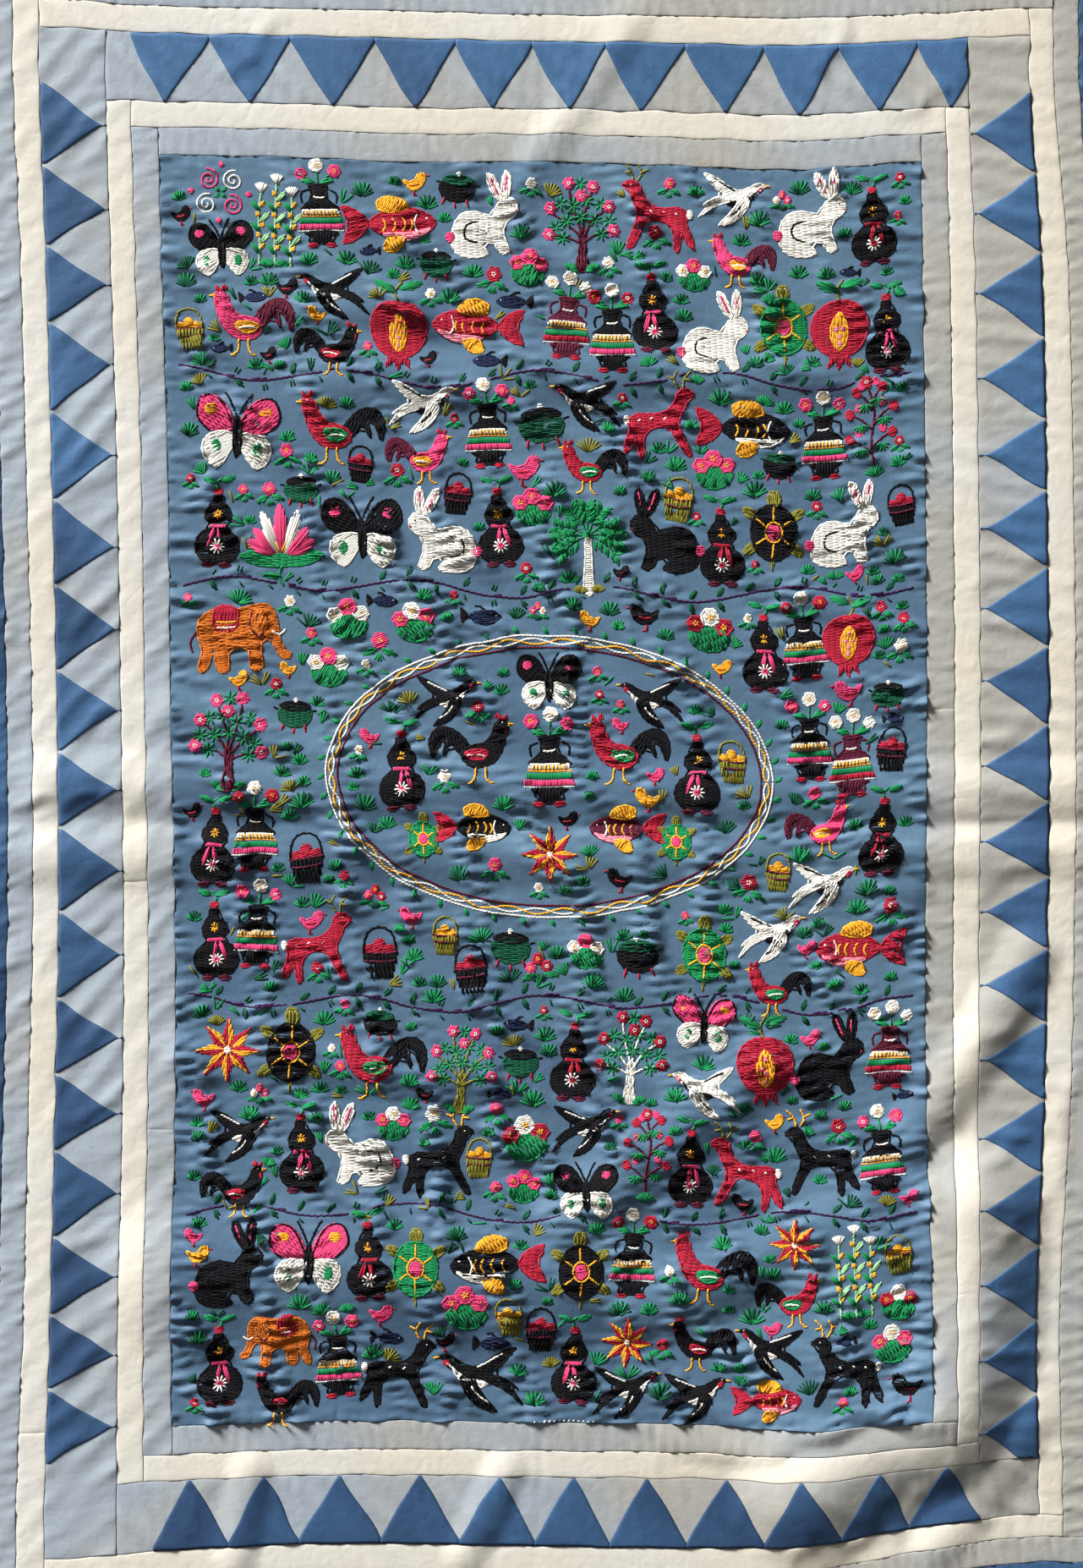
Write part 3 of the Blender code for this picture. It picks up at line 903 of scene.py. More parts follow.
def swallow(back, front):
    """A swallow in flight, with a forked tail."""
    body = [(-30, 20), (-12, 13), (-2, 6), (10, 7), (18, 13), (26, 15), (30, 12), (24, 8),
            (19, 2), (8, -5), (-8, -7), (-22, -14), (-34, -25), (-24, -10), (-32, -14),
            (-20, -4), (-12, 0), (-18, 6)]
    belly = [(19, 4), (24, 8), (20, 5), (10, -3), (-4, -6), (-8, -9), (4, -11), (14, -6)]
    wing = [(4, 2), (2, -8), (-6, -20), (-14, -30), (2, -24), (12, -12), (14, -2)]
    return [patch(back, body, 20), patch(front, belly, 15), patch(back, wing, 60),
            fill("crimson", oval(24, 8.5, 3.4, 2.2, 30)), line("gold", [(29, 13), (34, 12)]),
            dash("white", (24.5, 13.2, 26.5, 13.4)), line(front, [(-20, 15), (-8, 9), (0, 5)]),
            line(front, [(-8, -22), (0, -17), (6, -9)])]


def bird(body, tail, wing):
    """A strutting bird with a comb and an arched tail."""
    plume = [(-8, 2), (-18, 14), (-30, 17), (-38, 8), (-36, -8), (-31, 4), (-25, 8),
             (-29, -6), (-22, 2), (-17, -2), (-10, -8)]
    trunk = [(-14, -2), (-6, 3), (4, 4), (10, 12), (13, 21), (19, 23), (22, 18), (20, 8),
             (15, -5), (6, -13), (-5, -14), (-13, -9)]
    return [patch(tail, plume, 115), patch(body, trunk, 10),
            patch(wing, [(-12, -3), (-2, 0), (7, -2), (3, -8), (-6, -9)], 8),
            patch("crimson", [(12, 23), (14, 28), (17, 24), (20, 27), (20, 22)], 90),
            fill("gold", [(21, 21), (27, 18.5), (21, 17)]),
            line("gold", [(-3, -13), (-4, -24), (-9, -26)]),
            line("gold", [(4, -13), (5, -24), (11, -26)]), dash("white", (16.6, 20, 18.4, 20)),
            line("white", [(-10, -5), (-2, -4), (4, -6)]),
            fill("crimson", oval(20.5, 13, 1.8, 3.2))]


def tree(trunk, leaves, flower):
    """A forked tree in bloom."""
    stem = [(-4, -34), (-2, -20), (-3, -8), (0, -2), (3, -8), (2, -20), (5, -34)]
    parts = [patch(trunk, stem, 90)]
    for points in ([(-1, -10), (-8, 2), (-18, 10)], [(0, -8), (-3, 8), (-8, 22)],
                   [(0, -8), (5, 8), (8, 24)], [(1, -10), (10, 0), (20, 8)],
                   [(0, -14), (-10, -8), (-20, -6)], [(1, -14), (12, -9), (21, -8)]):
        parts.append(line(trunk, points))
    for x, y in ((-14, 14), (-4, 16), (5, 12), (14, 14), (-20, 2), (18, -2), (-10, 2), (10, 2),
                 (0, 28), (-14, -8), (14, -10), (0, 4)):
        parts.append(fan(leaves, x, y, 0.6, 5.8, 0, 309, 7))
    for x, y in ((-20, 12), (-9, 26), (8, 28), (21, 11), (-23, -5), (23, -8), (-1, 19)):
        parts += blossom(x, y, 4.6, flower, "white")
    return parts + sprig("green", -8, -34, 6, 60) + sprig("green", 9, -34, 6, 120)


def butterfly(wing, spot):
    """A butterfly with its wings spread."""
    parts = []
    for side in (-1, 1):
        upper, lower, edge, feeler = (np.array(points) * (side, 1) for points in (
            [(2, 4), (12, 24), (26, 26), (30, 12), (20, 2)],
            [(2, 0), (20, -1), (25, -13), (15, -25), (5, -14)],
            [(3, 6), (13, 24), (26, 26), (30, 12), (20, 1)],
            [(1, 13), (6, 24), (10, 30)]))
        parts += [patch(wing, upper, 40 * side), patch("white", lower, -30 * side),
                  fill(spot, oval(side * 20, 17, 5, 4)), fill("green", oval(side * 15, -10, 4, 5)),
                  line("black", edge), line("black", feeler)]
    return parts + [fill("black", oval(0, -2, 3, 16), 90)]


def fish(body, belly):
    """A scaled fish with trailing fins."""
    trunk = [(30, 1), (22, 9), (8, 13), (-8, 10), (-18, 2), (-8, -6), (8, -10), (22, -7)]
    tail = [(-17, 2), (-26, 12), (-37, 15), (-31, 2), (-37, -11), (-26, -8)]
    parts = [patch(body, trunk), patch(belly, [(26, -3), (12, -6), (-8, -5), (4, -11), (18, -9)]),
             patch("crimson", tail, 12),
             patch("gold", [(12, 12), (4, 21), (-10, 19), (-8, 10)], 60),
             patch("gold", [(8, -9), (2, -18), (-8, -17), (-4, -8)], 120),
             dash("white", (22, 4.2, 24.5, 4.2), (22.2, 5, 24.2, 5)),
             line("white", [(17, 8), (14, 1), (17, -6)])]
    for x in (-8, -1, 6, 11):
        parts.append(line("gold", [(x, 6), (x + 3, 1), (x, -4)], 2.6))
    return parts


def turtle(shell, skin):
    """A turtle seen from above."""
    parts = [fill(skin, oval(side * 17, y, 7, 3.6, side * lean), side * lean)
             for side in (-1, 1) for y, lean in ((13, 35), (-13, -35))]
    parts += [fill(skin, oval(0, 25, 5, 7), 90), fill(skin, [(-2, -20), (2, -20), (0, -30)], 90),
              fill(shell, oval(0, 0, 17, 21))]
    for angle in np.radians((30, 90, 150, 210, 270, 330)):
        x, y = np.cos(angle), np.sin(angle)
        parts.append(line("gold", [(6.5 * x, 8 * y), (15 * x, 19 * y)], 3.2))
    parts += [line("gold", oval(0, 0, 6.5, 8)[np.arange(0, 29, 4) % 28], 3.0),
              fill("pink", oval(0, 0, 5, 6)),
              dash("white", (-2.6, 28, -1.4, 28.6), (1.4, 28.6, 2.6, 28))]
    return parts


def star(light, dark):
    """An eight-pointed star, each point half light and half dark."""
    half = np.array([(0, 0), (11, 4.6), (26, 0)])
    parts = []
    for angle in range(0, 360, 45):
        parts += [fill(light, turned(half, angle), angle),
                  fill(dark, turned(half * (1, -1), angle), angle)]
    return parts + [fill("white", oval(0, 0, 3, 3))]


def spiral(first, second):
    """Four snail shells back to back, each a spiral line in two colours."""
    turn = np.linspace(0.4, 4.6 * np.pi, 34)
    curl = np.stack([turn * np.cos(turn), turn * np.sin(turn)], -1) * 0.72
    parts = [line(thread, curl * (flip, 1) + (x, y), 2.6)
             for x, y, flip, thread in ((-12, 12, 1, first), (12, 12, -1, second),
                                        (-12, -12, -1, second), (12, -12, 1, first))]
    return parts + petals("green", 0, 0, 1, 7, 4, 4, 45) + petals(second, 0, 0, 24, 7, 5, 4, 0)


def sunflower(ray, heart):
    """A tall composite flower with two pairs of leaves."""
    parts = [line("green", [(0, 8), (1, -12), (-1, -36)], 3.4, 0.6),
             leaf("green", 0, -12, 20, 8, 35), leaf("green", 0, -14, 20, 8, 148),
             leaf("green", 0, -26, 18, 8, 20), leaf("green", 0, -28, 18, 8, 162)]
    parts += petals(ray, 0, 20, 7, 11, 6.2, 12)
    return parts + [fill(heart, oval(0, 20, 7.5, 7.5), 30), fan("gold", 0, 20, 2, 4, 0, 315, 8)]


def stalks(stem, ear):
    """Three reeds with narrow leaves and tasselled heads."""
    parts = []
    for x, top in ((-13, 26), (0, 36), (13, 28)):
        parts += [line(stem, [(x, -34), (x + 1, 0), (x, top)], 4, 0.5),
                  fan("white", x, top - 1, 0.5, 9, 55, 125, 7)]
        for height in range(-24, top - 8, 9):
            side = 1 if (height // 9) % 2 else -1
            parts.append(leaf(stem if height % 2 else "green", x, height, 12, 4, 90 - side * 42))
            parts.append(leaf(ear, x, height + 4, 6, 3.4, 90 + side * 35))
    return parts + sprig("green", -6, -34, 7) + sprig("green", 7, -34, 7)


def berries(fruit, twig):
    """A branching twig hung with berries."""
    parts = [line(twig, [(0, -34), (-1, -10), (3, 12), (-1, 32)], 3.2, 0.6)]
    for x, y, to_x, to_y in ((-1, -18, -16, -6), (-1, -14, 15, -4), (1, 0, -15, 12),
                             (2, 4, 17, 15), (2, 14, -9, 27), (1, 18, 10, 30)):
        half_x, half_y = (x + to_x) / 2, (y + to_y) / 2
        parts += [line(twig, [(x, y), (half_x, half_y + 2), (to_x, to_y)]),
                  fill(fruit, oval(to_x, to_y, 3.8, 3.8), 15),
                  fill("pink", oval(to_x * 0.55, to_y + 4, 3, 3), 15),
                  fan("green", half_x, half_y - 2, 0.5, 6.5, 200, 340, 6)]
    return parts + blossom(-1, 34, 4.6, fruit, "white") + sprig("green", 0, -34, 8)


def rabbit(coat, ear):
    """A sitting rabbit, from the side."""
    trunk = [(-24, -20), (-26, -8), (-20, 6), (-8, 10), (4, 6), (8, 12), (14, 18), (22, 18),
             (26, 11), (22, 4), (15, 0), (14, -10), (18, -22), (10, -23), (6, -14), (-2, -16),
             (2, -24), (-14, -25)]
    return [patch(coat, trunk),
            patch(coat, [(11, 17), (4, 28), (2, 38), (8, 36), (14, 20)], 70),
            patch(coat, [(15, 18), (14, 30), (17, 40), (21, 34), (19, 19)], 88),
            line(ear, [(11, 21), (7, 30), (5, 35)]), line(ear, [(17, 22), (17, 30), (18, 36)]),
            fill(ear, oval(-27, -9, 4, 4)),
            dash("black", (19, 12, 21.4, 12), (19.2, 12.8, 21.2, 12.8)),
            line("black", [(-6, -14), (-16, -10), (-14, 0), (-4, 2)]),
            line("crimson", [(25, 9), (23, 7)])]


def lotus(outer, inner):
    """A lotus over its pad."""
    pad = [(-30, -14), (-18, -21), (0, -23), (18, -21), (30, -14), (14, -11), (0, -13), (-14, -11)]
    parts = [patch("green", pad, 4)]
    parts += [leaf(outer, x, -14, 30 - abs(lean) * 0.14, 10, 90 - lean)
              for x, lean in ((-5, -62), (5, 62), (-4, -40), (4, 40))]
    parts += [leaf(inner, x, -14, 33, 10, 90 - lean) for x, lean in ((-2, -20), (2, 20))]
    return parts + [leaf(outer, 0, -14, 36, 11, 90), fan("gold", 0, -13, 1, 9, 40, 140, 9),
                    line("green", [(0, -22), (3, -30), (-1, -37)], 3.4, 0.6),
                    leaf("green", 1, -30, 14, 5, 10)]


def pomegranate(rind, seed):
    """A split fruit on its twig."""
    parts = [line("olive", [(0, 20), (-3, 28), (2, 36)], 3.2, 0.6),
             leaf("green", -1, 27, 18, 7, 155), leaf("green", 0, 30, 17, 7, 20),
             patch(rind, both_sides([(0, 21), (-14, 17), (-20, 4), (-15, -11), (-5, -18), (0, -17)])),
             patch("gold", both_sides([(0, 13), (-6, 3), (-4, -10), (0, -14)]), 90)]
    parts += [fill(seed, oval(x, y, 1.9, 1.9))
              for x, y in ((0, 6), (-2.4, 1), (2.4, 1), (0, -4), (0, -9))]
    return parts + [fill(rind, both_sides([(-7, -17), (-9, -27), (-3, -21), (0, -28)]), 90)]


def elephant(hide, cloth):
    """A walking elephant with a saddle cloth."""
    trunk = [(-30, 0), (-28, 12), (-16, 19), (2, 18), (12, 20), (22, 20), (28, 13), (29, 0),
             (31, -12), (37, -16), (36, -20), (29, -19), (25, -10), (22, -4), (17, -5),
             (15, -12), (16, -26), (7, -26), (6, -12), (-8, -12), (-9, -26), (-18, -26),
             (-19, -10), (-26, -26), (-32, -24), (-27, -10)]
    return [patch(hide, trunk),
            patch(hide, [(12, 17), (8, 6), (14, -3), (21, 4), (20, 14)], 60),
            line("maroon", [(12, 17), (8, 6), (14, -3), (21, 4)]),
            patch(cloth, [(-16, 20), (-17, 4), (-2, 3), (0, 19)], 90),
            line("white", [(-16, 6), (-9, 5), (-2, 5)]),
            line("gold", [(-16, 10), (-8, 9), (-1, 9)]),
            line("white", [(24, 1), (29, -3), (34, 1)]),
            dash("black", (24, 12, 26, 12), (24, 12.8, 26, 12.8)),
            line("maroon", [(-30, 4), (-36, -4), (-34, -12)])]


def deer(coat, horn):
    """A leaping deer."""
    trunk = [(-26, 2), (-20, 9), (-6, 8), (6, 10), (13, 18), (16, 27), (24, 28), (30, 22),
             (24, 20), (21, 12), (15, 0), (19, -12), (24, -26), (20, -27), (12, -12), (6, -3),
             (-8, -4), (-14, -12), (-15, -27), (-19, -27), (-20, -11), (-25, -20), (-32, -24),
             (-28, -12), (-24, -4)]
    return [patch(coat, trunk), line(horn, [(17, 28), (13, 36), (17, 43)]),
            line(horn, [(14, 36), (8, 39)]), line(horn, [(20, 28), (22, 37), (28, 42)]),
            line(horn, [(22, 36), (27, 34)]), dash("white", (21, 24, 23.2, 24)),
            fill("white", oval(-27, 4, 3, 4)), line("white", [(-18, 3), (-15, 4)]),
            line("white", [(-8, 4), (-5, 5)]), line("white", [(3, 3), (6, 5)])]


def palm(trunk, leaves):
    """A palm with a ringed trunk and nine fronds."""
    parts = [patch(trunk, [(-3, -36), (-2.4, -14), (-2, 4), (2, 4), (2.4, -14), (4, -36)], 0, 1.6)]
    for turn in (-30, -5, 22, 62, 90, 118, 158, 185, 210):
        tip = np.array([np.cos(np.radians(turn)), np.sin(np.radians(turn))])
        parts.append(line(leaves, [(0, 5), tuple(tip * 13 + (0, 8)), tuple(tip * 24 + (0, 3))]))
        for reach in (9, 14, 19, 23):
            x, y = tip * reach + (0, 8 - reach * 0.2)
            parts += [leaf(leaves, x, y, 9, 3.4, turn - 48), leaf(leaves, x, y, 9, 3.4, turn + 48)]
    return parts + sprig("olive", -6, -36, 6) + sprig("olive", 7, -36, 6)


def daisy(outer, heart):
    """A small flower between two leaves."""
    leaves = [leaf("green", -1, -2, 11, 4.4, 205), leaf("green", 1, -2, 11, 4.4, -25)]
    return blossom(0, 3, 5.2, outer, heart) + leaves + [fan("green", 0, -4, 1, 6, 240, 300, 4)]


def tuft(thread, other):
    """A tuft of grass."""
    return sprig(thread, 0, -4, 9) + [fan(other, 0, -4, 3, 11, 60, 120, 4)]


def cluster(first, second):
    """Three buds over leaves."""
    parts = (blossom(-6, 2, 4.4, first, "white") + blossom(6, 2, 4.4, second, "gold")
             + blossom(0, 8, 4.4, first, "gold"))
    return parts + [leaf("green", -3, -3, 12, 4.4, 195), leaf("green", 3, -3, 12, 4.4, -15),
                    fan("forest", 0, -2, 1, 8, 225, 315, 7)]


def bush(first, second):
    """A round bush with blossoms along its top."""
    parts = [patch("green",
                   [(-13, -2), (-9, -9), (0, -12), (9, -9), (13, -2), (8, 3), (0, 4), (-8, 3)], 60)]
    parts += [leaf("forest", x, -3, 8, 3, turn) for x, turn in ((-6, 240), (0, 268), (6, 300))]
    parts += blossom(-9, 5, 5.4, first, "gold") + blossom(9, 5, 5.4, first, "gold")
    return parts + blossom(0, 10, 6, second, "gold")


def basket(body, fruit):
    """A basket heaped with fruit."""
    parts = [fill(fruit, oval(x, 7, 4.2, 4), 15)
             for x in (-6, 0, 6)] + [fill(fruit, oval(0, 11, 4, 3.4), 15)]
    return parts + [fill(body, [(-11, 6), (11, 6), (7, -10), (-7, -10)], 90),
                    line("maroon", [(-11, 6), (0, 5), (11, 6)], 4),
                    line("maroon", [(-9.5, 1), (0, 0), (9.5, 1)], 4),
                    line(body, both_sides([(-10, 6), (-8, 17), (0, 21)]), 4)]


def pot(body, lid):
    """A round cooking pot on three feet."""
    return [patch(body, [(-13, 3), (-11, -7), (0, -11), (11, -7), (13, 3), (0, 6)]),
            fill(lid, oval(0, 6, 12.5, 3.6)), fill("white", oval(0, 10.5, 2.2, 1.8)),
            line("crimson", [(-8, -8), (-10, -14)]), line("crimson", [(0, -11), (0, -16)]),
            line("crimson", [(8, -8), (10, -14)]), line(lid, [(-13, 3), (-17, 4)]),
            line(lid, [(13, 3), (17, 4)])]


def chick(body, wing):
    """A small bird on the ground."""
    return [patch(body,
                  [(-10, 4), (-5, 1), (1, 3), (4, 9), (9, 9), (10, 4), (6, -3), (0, -6), (-6, -4)],
                  10), line("crimson", [(-1, -6), (-1, -11), (2, -11)]),
            line(wing, [(-5, -1), (0, -2), (4, 0)]), line("crimson", [(10, 7), (13, 6)]),
            dash("black", (6.4, 7, 7.8, 7))]


def minnow(body, fin):
    """A small dark fish."""
    return [patch(body, [(12, 0), (5, 4.5), (-5, 3), (-9, 0), (-5, -3), (5, -4)]),
            patch(fin, [(-8, 0), (-14, 5), (-13, -5)], 12), dash("white", (8, 1, 9.4, 1)),
            line(fin, [(2, 4), (-1, 7), (-5, 7)])]


# The garden: motif, its threads, and how often it comes up
GARDEN = (
    (jar, "black pink pink", 17),
    (jar, "black pink crimson", 6),
    (jar, "maroon crimson white", 2),
    (gourd, "black pink", 24),
    (gourd, "black crimson", 9),
    (swallow, "black white", 15),
    (swallow, "white black", 4),
    (bird, "crimson black green", 5),
    (bird, "black black crimson", 4),
    (bird, "pink maroon gold", 2),
    (tree, "olive green pink", 4),
    (tree, "white green crimson", 4),
    (tree, "maroon green pink", 2),
    (butterfly, "black pink", 3),
    (butterfly, "pink gold", 3),
    (fish, "black white", 2),
    (fish, "crimson salmon", 3),
    (turtle, "black olive", 2),
    (turtle, "green olive", 1),
    (star, "gold crimson", 2),
    (spiral, "white pink", 2),
    (sunflower, "gold maroon", 3),
    (stalks, "mint gold", 3),
    (berries, "crimson maroon", 3),
    (rabbit, "black pink", 3),
    (rabbit, "white pink", 4),
    (lotus, "pink white", 2),
    (pomegranate, "crimson salmon", 3),
    (elephant, "orange crimson", 2),
    (deer, "crimson olive", 3),
    (deer, "black gold", 2),
    (palm, "white green", 3),
)
BUSHES = ((bush, "pink white"), (bush, "pink pink"), (bush, "crimson white"), (bush, "white pink"),
          (basket, "olive gold"), (basket, "black crimson"), (pot, "forest black"),
          (pot, "black forest"))
FILLERS = ((daisy, "pink gold"), (daisy, "crimson white"), (daisy, "white gold"),
           (tuft, "green green"), (tuft, "forest green"), (tuft, "green forest"),
           (cluster, "pink white"), (cluster, "crimson pink"), (chick, "gold orange"),
           (chick, "pink crimson"), (chick, "black crimson"), (minnow, "navy black"))
# The oval wreath in the middle: its centre and half sizes.
MEDALLION = (0, 15, 206, 128)
# Inside it: motif, its threads, place from its centre, size, and -1 where it is mirrored
MEDALLION_GARDEN = (
    (jar, "black pink pink", 0, 10, 1.25, 1),
    (bird, "black black crimson", -66, 26, 1.25, 1),
    (bird, "crimson black green", 66, 26, 1.25, -1),
    (fish, "black white", -70, -50, 1.1, 1),
    (fish, "maroon salmon", 70, -50, 1.1, -1),
    (star, "gold crimson", 0, -74, 1.1, 1),
    (gourd, "black pink", -140, 4, 1.2, 1),
    (gourd, "black pink", 140, 4, 1.2, -1),
    (butterfly, "black pink", 0, 88, 1.0, 1),
    (swallow, "black white", -96, 76, 0.95, 1),
    (swallow, "black white", 96, 76, 0.95, -1),
    (turtle, "green olive", -120, -60, 0.8, 1),
    (turtle, "green olive", 120, -60, 0.8, 1),
)
# Room at the panel's sides, from its top to the first row, from row to row, and for a vine.
MARGIN = 12
FIRST_ROW = 56
ROW_PITCH = 95.5
VINE_ROOM = 9
GARDEN_ROWS = 12
# The rows that have a vine under them.
VINES = (1, 3, 7, 9)
TALLEST = 100
# A motif that was used a moment ago comes up at this share of its usual rate.
AGAIN = 0.12
# Pale motifs are exp(PALER) times likelier for each TREND up the panel, and black ones
# exp(BLACKER) times for each TREND down it.
PALER = 1.5
BLACKER = 1.2
TREND = 400
# A row starts up to LATE_START late. It is taken as HALF_ROW high on either side, and it stops
# BESIDE short of the medallion.
LATE_START = 16
HALF_ROW = 52
BESIDE = 18
# Sizes of the motifs in rows, how far they tilt in degrees and stand off their row, the moves
# up and down that are tried from there, and how far one may push into the next.
MOTIF_SIZES = (1.2, 1.4)
TILT = 4
OFF_ROW = 7
NUDGES = (0, -4, 4, -8, 8)
PUSH = 6
# Low motifs stand one over the other at this share of places, LOW above and below the row.
STACKED = 0.6
LOW = 26
STACK_SIZE = 0.98
# Worked cloth is marked in cells of this size.
CELL = 3.0
# Side of the square in which a motif's layers are counted.
LAYER_MAP = 140
# Small motifs in the gaps stay this far inside the panel.
FILLER_MARGIN = 9
# Sprigs of grass that are tried, and how far inside the panel they stand.
GRASS = 600
GRASS_MARGIN = 20


def worked(make, threads):
    """A motif worked in the named threads, ready to be placed and sewn."""
    return layered(make(*threads.split()))


def layered(parts):
    """Parts in the order of sewing, as thread, stitches, and how many earlier layers each
    stitch lies on, counted in cells of a millimetre."""
    depth = np.zeros((LAYER_MAP, LAYER_MAP), int)
    whole = []
    for thread, stitches in parts:
        places = stitches[:, :1] + np.diff(stitches, axis=1) * np.linspace(0.1, 0.9, 6)[:, None]
        cells = np.clip(np.round(places).astype(int) + LAYER_MAP // 2, 0, LAYER_MAP - 1)
        cells = tuple(cells.reshape(-1, 2).T)
        below = depth[cells].reshape(len(stitches), -1).max(1)
        np.maximum.at(depth, cells, np.repeat(below + 1, 6))
        whole.append((thread, stitches, below))
    return whole


def every_stitch(motif):
    """The stitches of all of a motif's threads."""
    return np.concatenate([stitches for _, stitches, _ in motif])


def cells_under(stitches):
    """Panel cells under both ends and the middle of each stitch."""
    places = stitches[:, :1] + np.diff(stitches, axis=1) * np.array([0.0, 0.5, 1.0])[:, None]
    cells = ((places + (PANEL_WIDTH / 2, PANEL_LENGTH / 2)) / CELL).astype(int)
    return tuple(np.clip(cells, 0, np.array(taken.shape) - 1).transpose(2, 0, 1))


def placed(motif, x, y, angle, size, flip=1):
    """A motif moved to its place on the panel, turned, scaled and mirrored if flip is -1."""
    return [(thread, turned(stitches * (flip, 1), angle, size) + (x, y), below)
            for thread, stitches, below in motif]


def has_room(motif):
    """True if the placed motif is well inside the panel and on no worked cell."""
    stitches = every_stitch(motif)
    most = PANEL_WIDTH / 2 - FILLER_MARGIN, PANEL_LENGTH / 2 - FILLER_MARGIN
    inside = np.abs(stitches).reshape(-1, 2).max(0) < most
    return inside.all() and not taken[cells_under(stitches)].any()


def worked_share(motif):
    """Share of a placed motif's cells that are already worked."""
    return taken[cells_under(every_stitch(motif))].mean()


def sew(motif, spread=1):
    """Adds a placed motif and marks the cells it covers, and those within spread of them."""
    sewn.extend(motif)
    across, up = cells_under(every_stitch(motif))
    for step_across in range(-spread, spread + 1):
        for step_up in range(-spread, spread + 1):
            taken[np.clip(across + step_across, 0, taken.shape[0] - 1),
                  np.clip(up + step_up, 0, taken.shape[1] - 1)] = True


def sew_behind(thread, stitches):
    """Sews those stitches of a line that no earlier motif covers."""
    free = ~taken[cells_under(stitches)].any(1)
    sew([(thread, stitches[free], np.zeros(free.sum(), int))], 0)


def thread_share(motif, wanted):
    """Share of a motif's stitches that are in the wanted thread."""
    in_it = sum(len(stitches) for thread, stitches, _ in motif if thread == wanted)
    return in_it / len(every_stitch(motif))


sewn = []
taken = np.zeros((round(PANEL_WIDTH / CELL) + 1, round(PANEL_LENGTH / CELL) + 1), bool)
random = np.random.default_rng(31)
motifs = [worked(make, threads) for make, threads, _ in GARDEN]
shares = np.array([share for _, _, share in GARDEN], float)
spans = [np.abs(every_stitch(motif)).reshape(-1, 2).max(0) for motif in motifs]
is_low = np.array([up < 1.2 * LOW for _, up in spans])
black_share, pale_share = (np.array([thread_share(motif, wanted) for motif in motifs])
                           for wanted in ("black", "white"))

# The medallion: an oval wreath of two plied lines between two plain ones, with leaves outside,
# and its own garden.
centre_x, centre_y, half_across, half_up = MEDALLION
turn = np.linspace(0, 2 * np.pi, 145)
for thread, swing, out in (("white", 2.8, 0), ("gold", -2.8, 0), ("white", 0, 5.5),
                           ("maroon", 0, -5.5)):
    off = out + swing * np.sin(24 * turn)
    wreath = np.stack([centre_x + (half_across + off) * np.cos(turn),
                       centre_y + (half_up + off) * np.sin(turn)], -1)
    sew(layered([line(thread, wreath)]))
for angle in np.arange(0, 360, 7.5):
    x, y = np.cos(np.radians(angle)), np.sin(np.radians(angle))
    outwards = np.degrees(np.arctan2(y * half_across, x * half_up))
    sew(layered([leaf("green", centre_x + (half_across + 7) * x, centre_y + (half_up + 7) * y, 9, 4,
                      outwards + 35)]))
for make, threads, x, y, size, flip in MEDALLION_GARDEN:
    sew(placed(worked(make, threads), centre_x + x, centre_y + y, 0, size, flip))

# The rest stands in rows, each packed from left to right round the medallion. Black motifs
# come up more towards the bottom, and pale ones towards the top.
last = [-1, -1, -1]  # the three motifs that came last
above = set()  # those of the row above
drops = [ROW_PITCH * row + VINE_ROOM * sum(vine < row for vine in VINES) for row in range(GARDEN_ROWS)]
rows = PANEL_LENGTH / 2 - FIRST_ROW - np.array(drops)
for height in rows:
    left, row_used = -PANEL_WIDTH / 2 + MARGIN + random.uniform(0, LATE_START), set()
    # How far to each side the medallion keeps this row away, as the half chord of its oval.
    part = (abs(height - centre_y) - HALF_ROW) / half_up
    reach = (half_across + BESIDE) * np.sqrt(max(0, 1 - max(part, 0) ** 2)) if part < 1 else 0
    while True:
        size = random.uniform(*MOTIF_SIZES)
        sizes = [min(size, TALLEST / 2 / up) for _, up in spans]
        room = PANEL_WIDTH / 2 - MARGIN - left
        fits = [across * 2 * size < room for (across, _), size in zip(spans, sizes)]
        fresh = [index not in last and index not in above for index in range(len(motifs))]
        chance = shares * fits * np.where(fresh, 1.0, AGAIN) * (np.arange(len(motifs)) != last[-1])
        chance = chance * np.exp((PALER * pale_share - BLACKER * black_share) * height / TREND)
        if chance.sum() == 0:
            break
        pick = random.choice(len(motifs), p=chance / chance.sum())
        stack = [(pick, 0, sizes[pick])]
        if is_low[pick] and random.random() < STACKED:
            second = random.choice(len(motifs), p=shares * is_low / (shares * is_low).sum())
            stack = [(pick, LOW, STACK_SIZE), (second, -LOW, STACK_SIZE)]
        half = max(spans[index][0] * size for index, _, size in stack)
        if left + 2 * half > centre_x - reach and left < centre_x + reach:
            left = centre_x + reach
            continue
        for index, up, size in stack:
            angle, flip = random.uniform(-TILT, TILT), random.choice([-1, 1])
            start = height + up + random.uniform(-OFF_ROW, OFF_ROW)
            tries = [placed(motifs[index], left + half, start + shift, angle, size, flip)
                     for shift in NUDGES]
            sew(min(tries, key=worked_share), 0)
        left += 2 * half + random.uniform(-PUSH, 0)
        last = last[1:] + [pick]
        row_used.add(pick)
    above = row_used

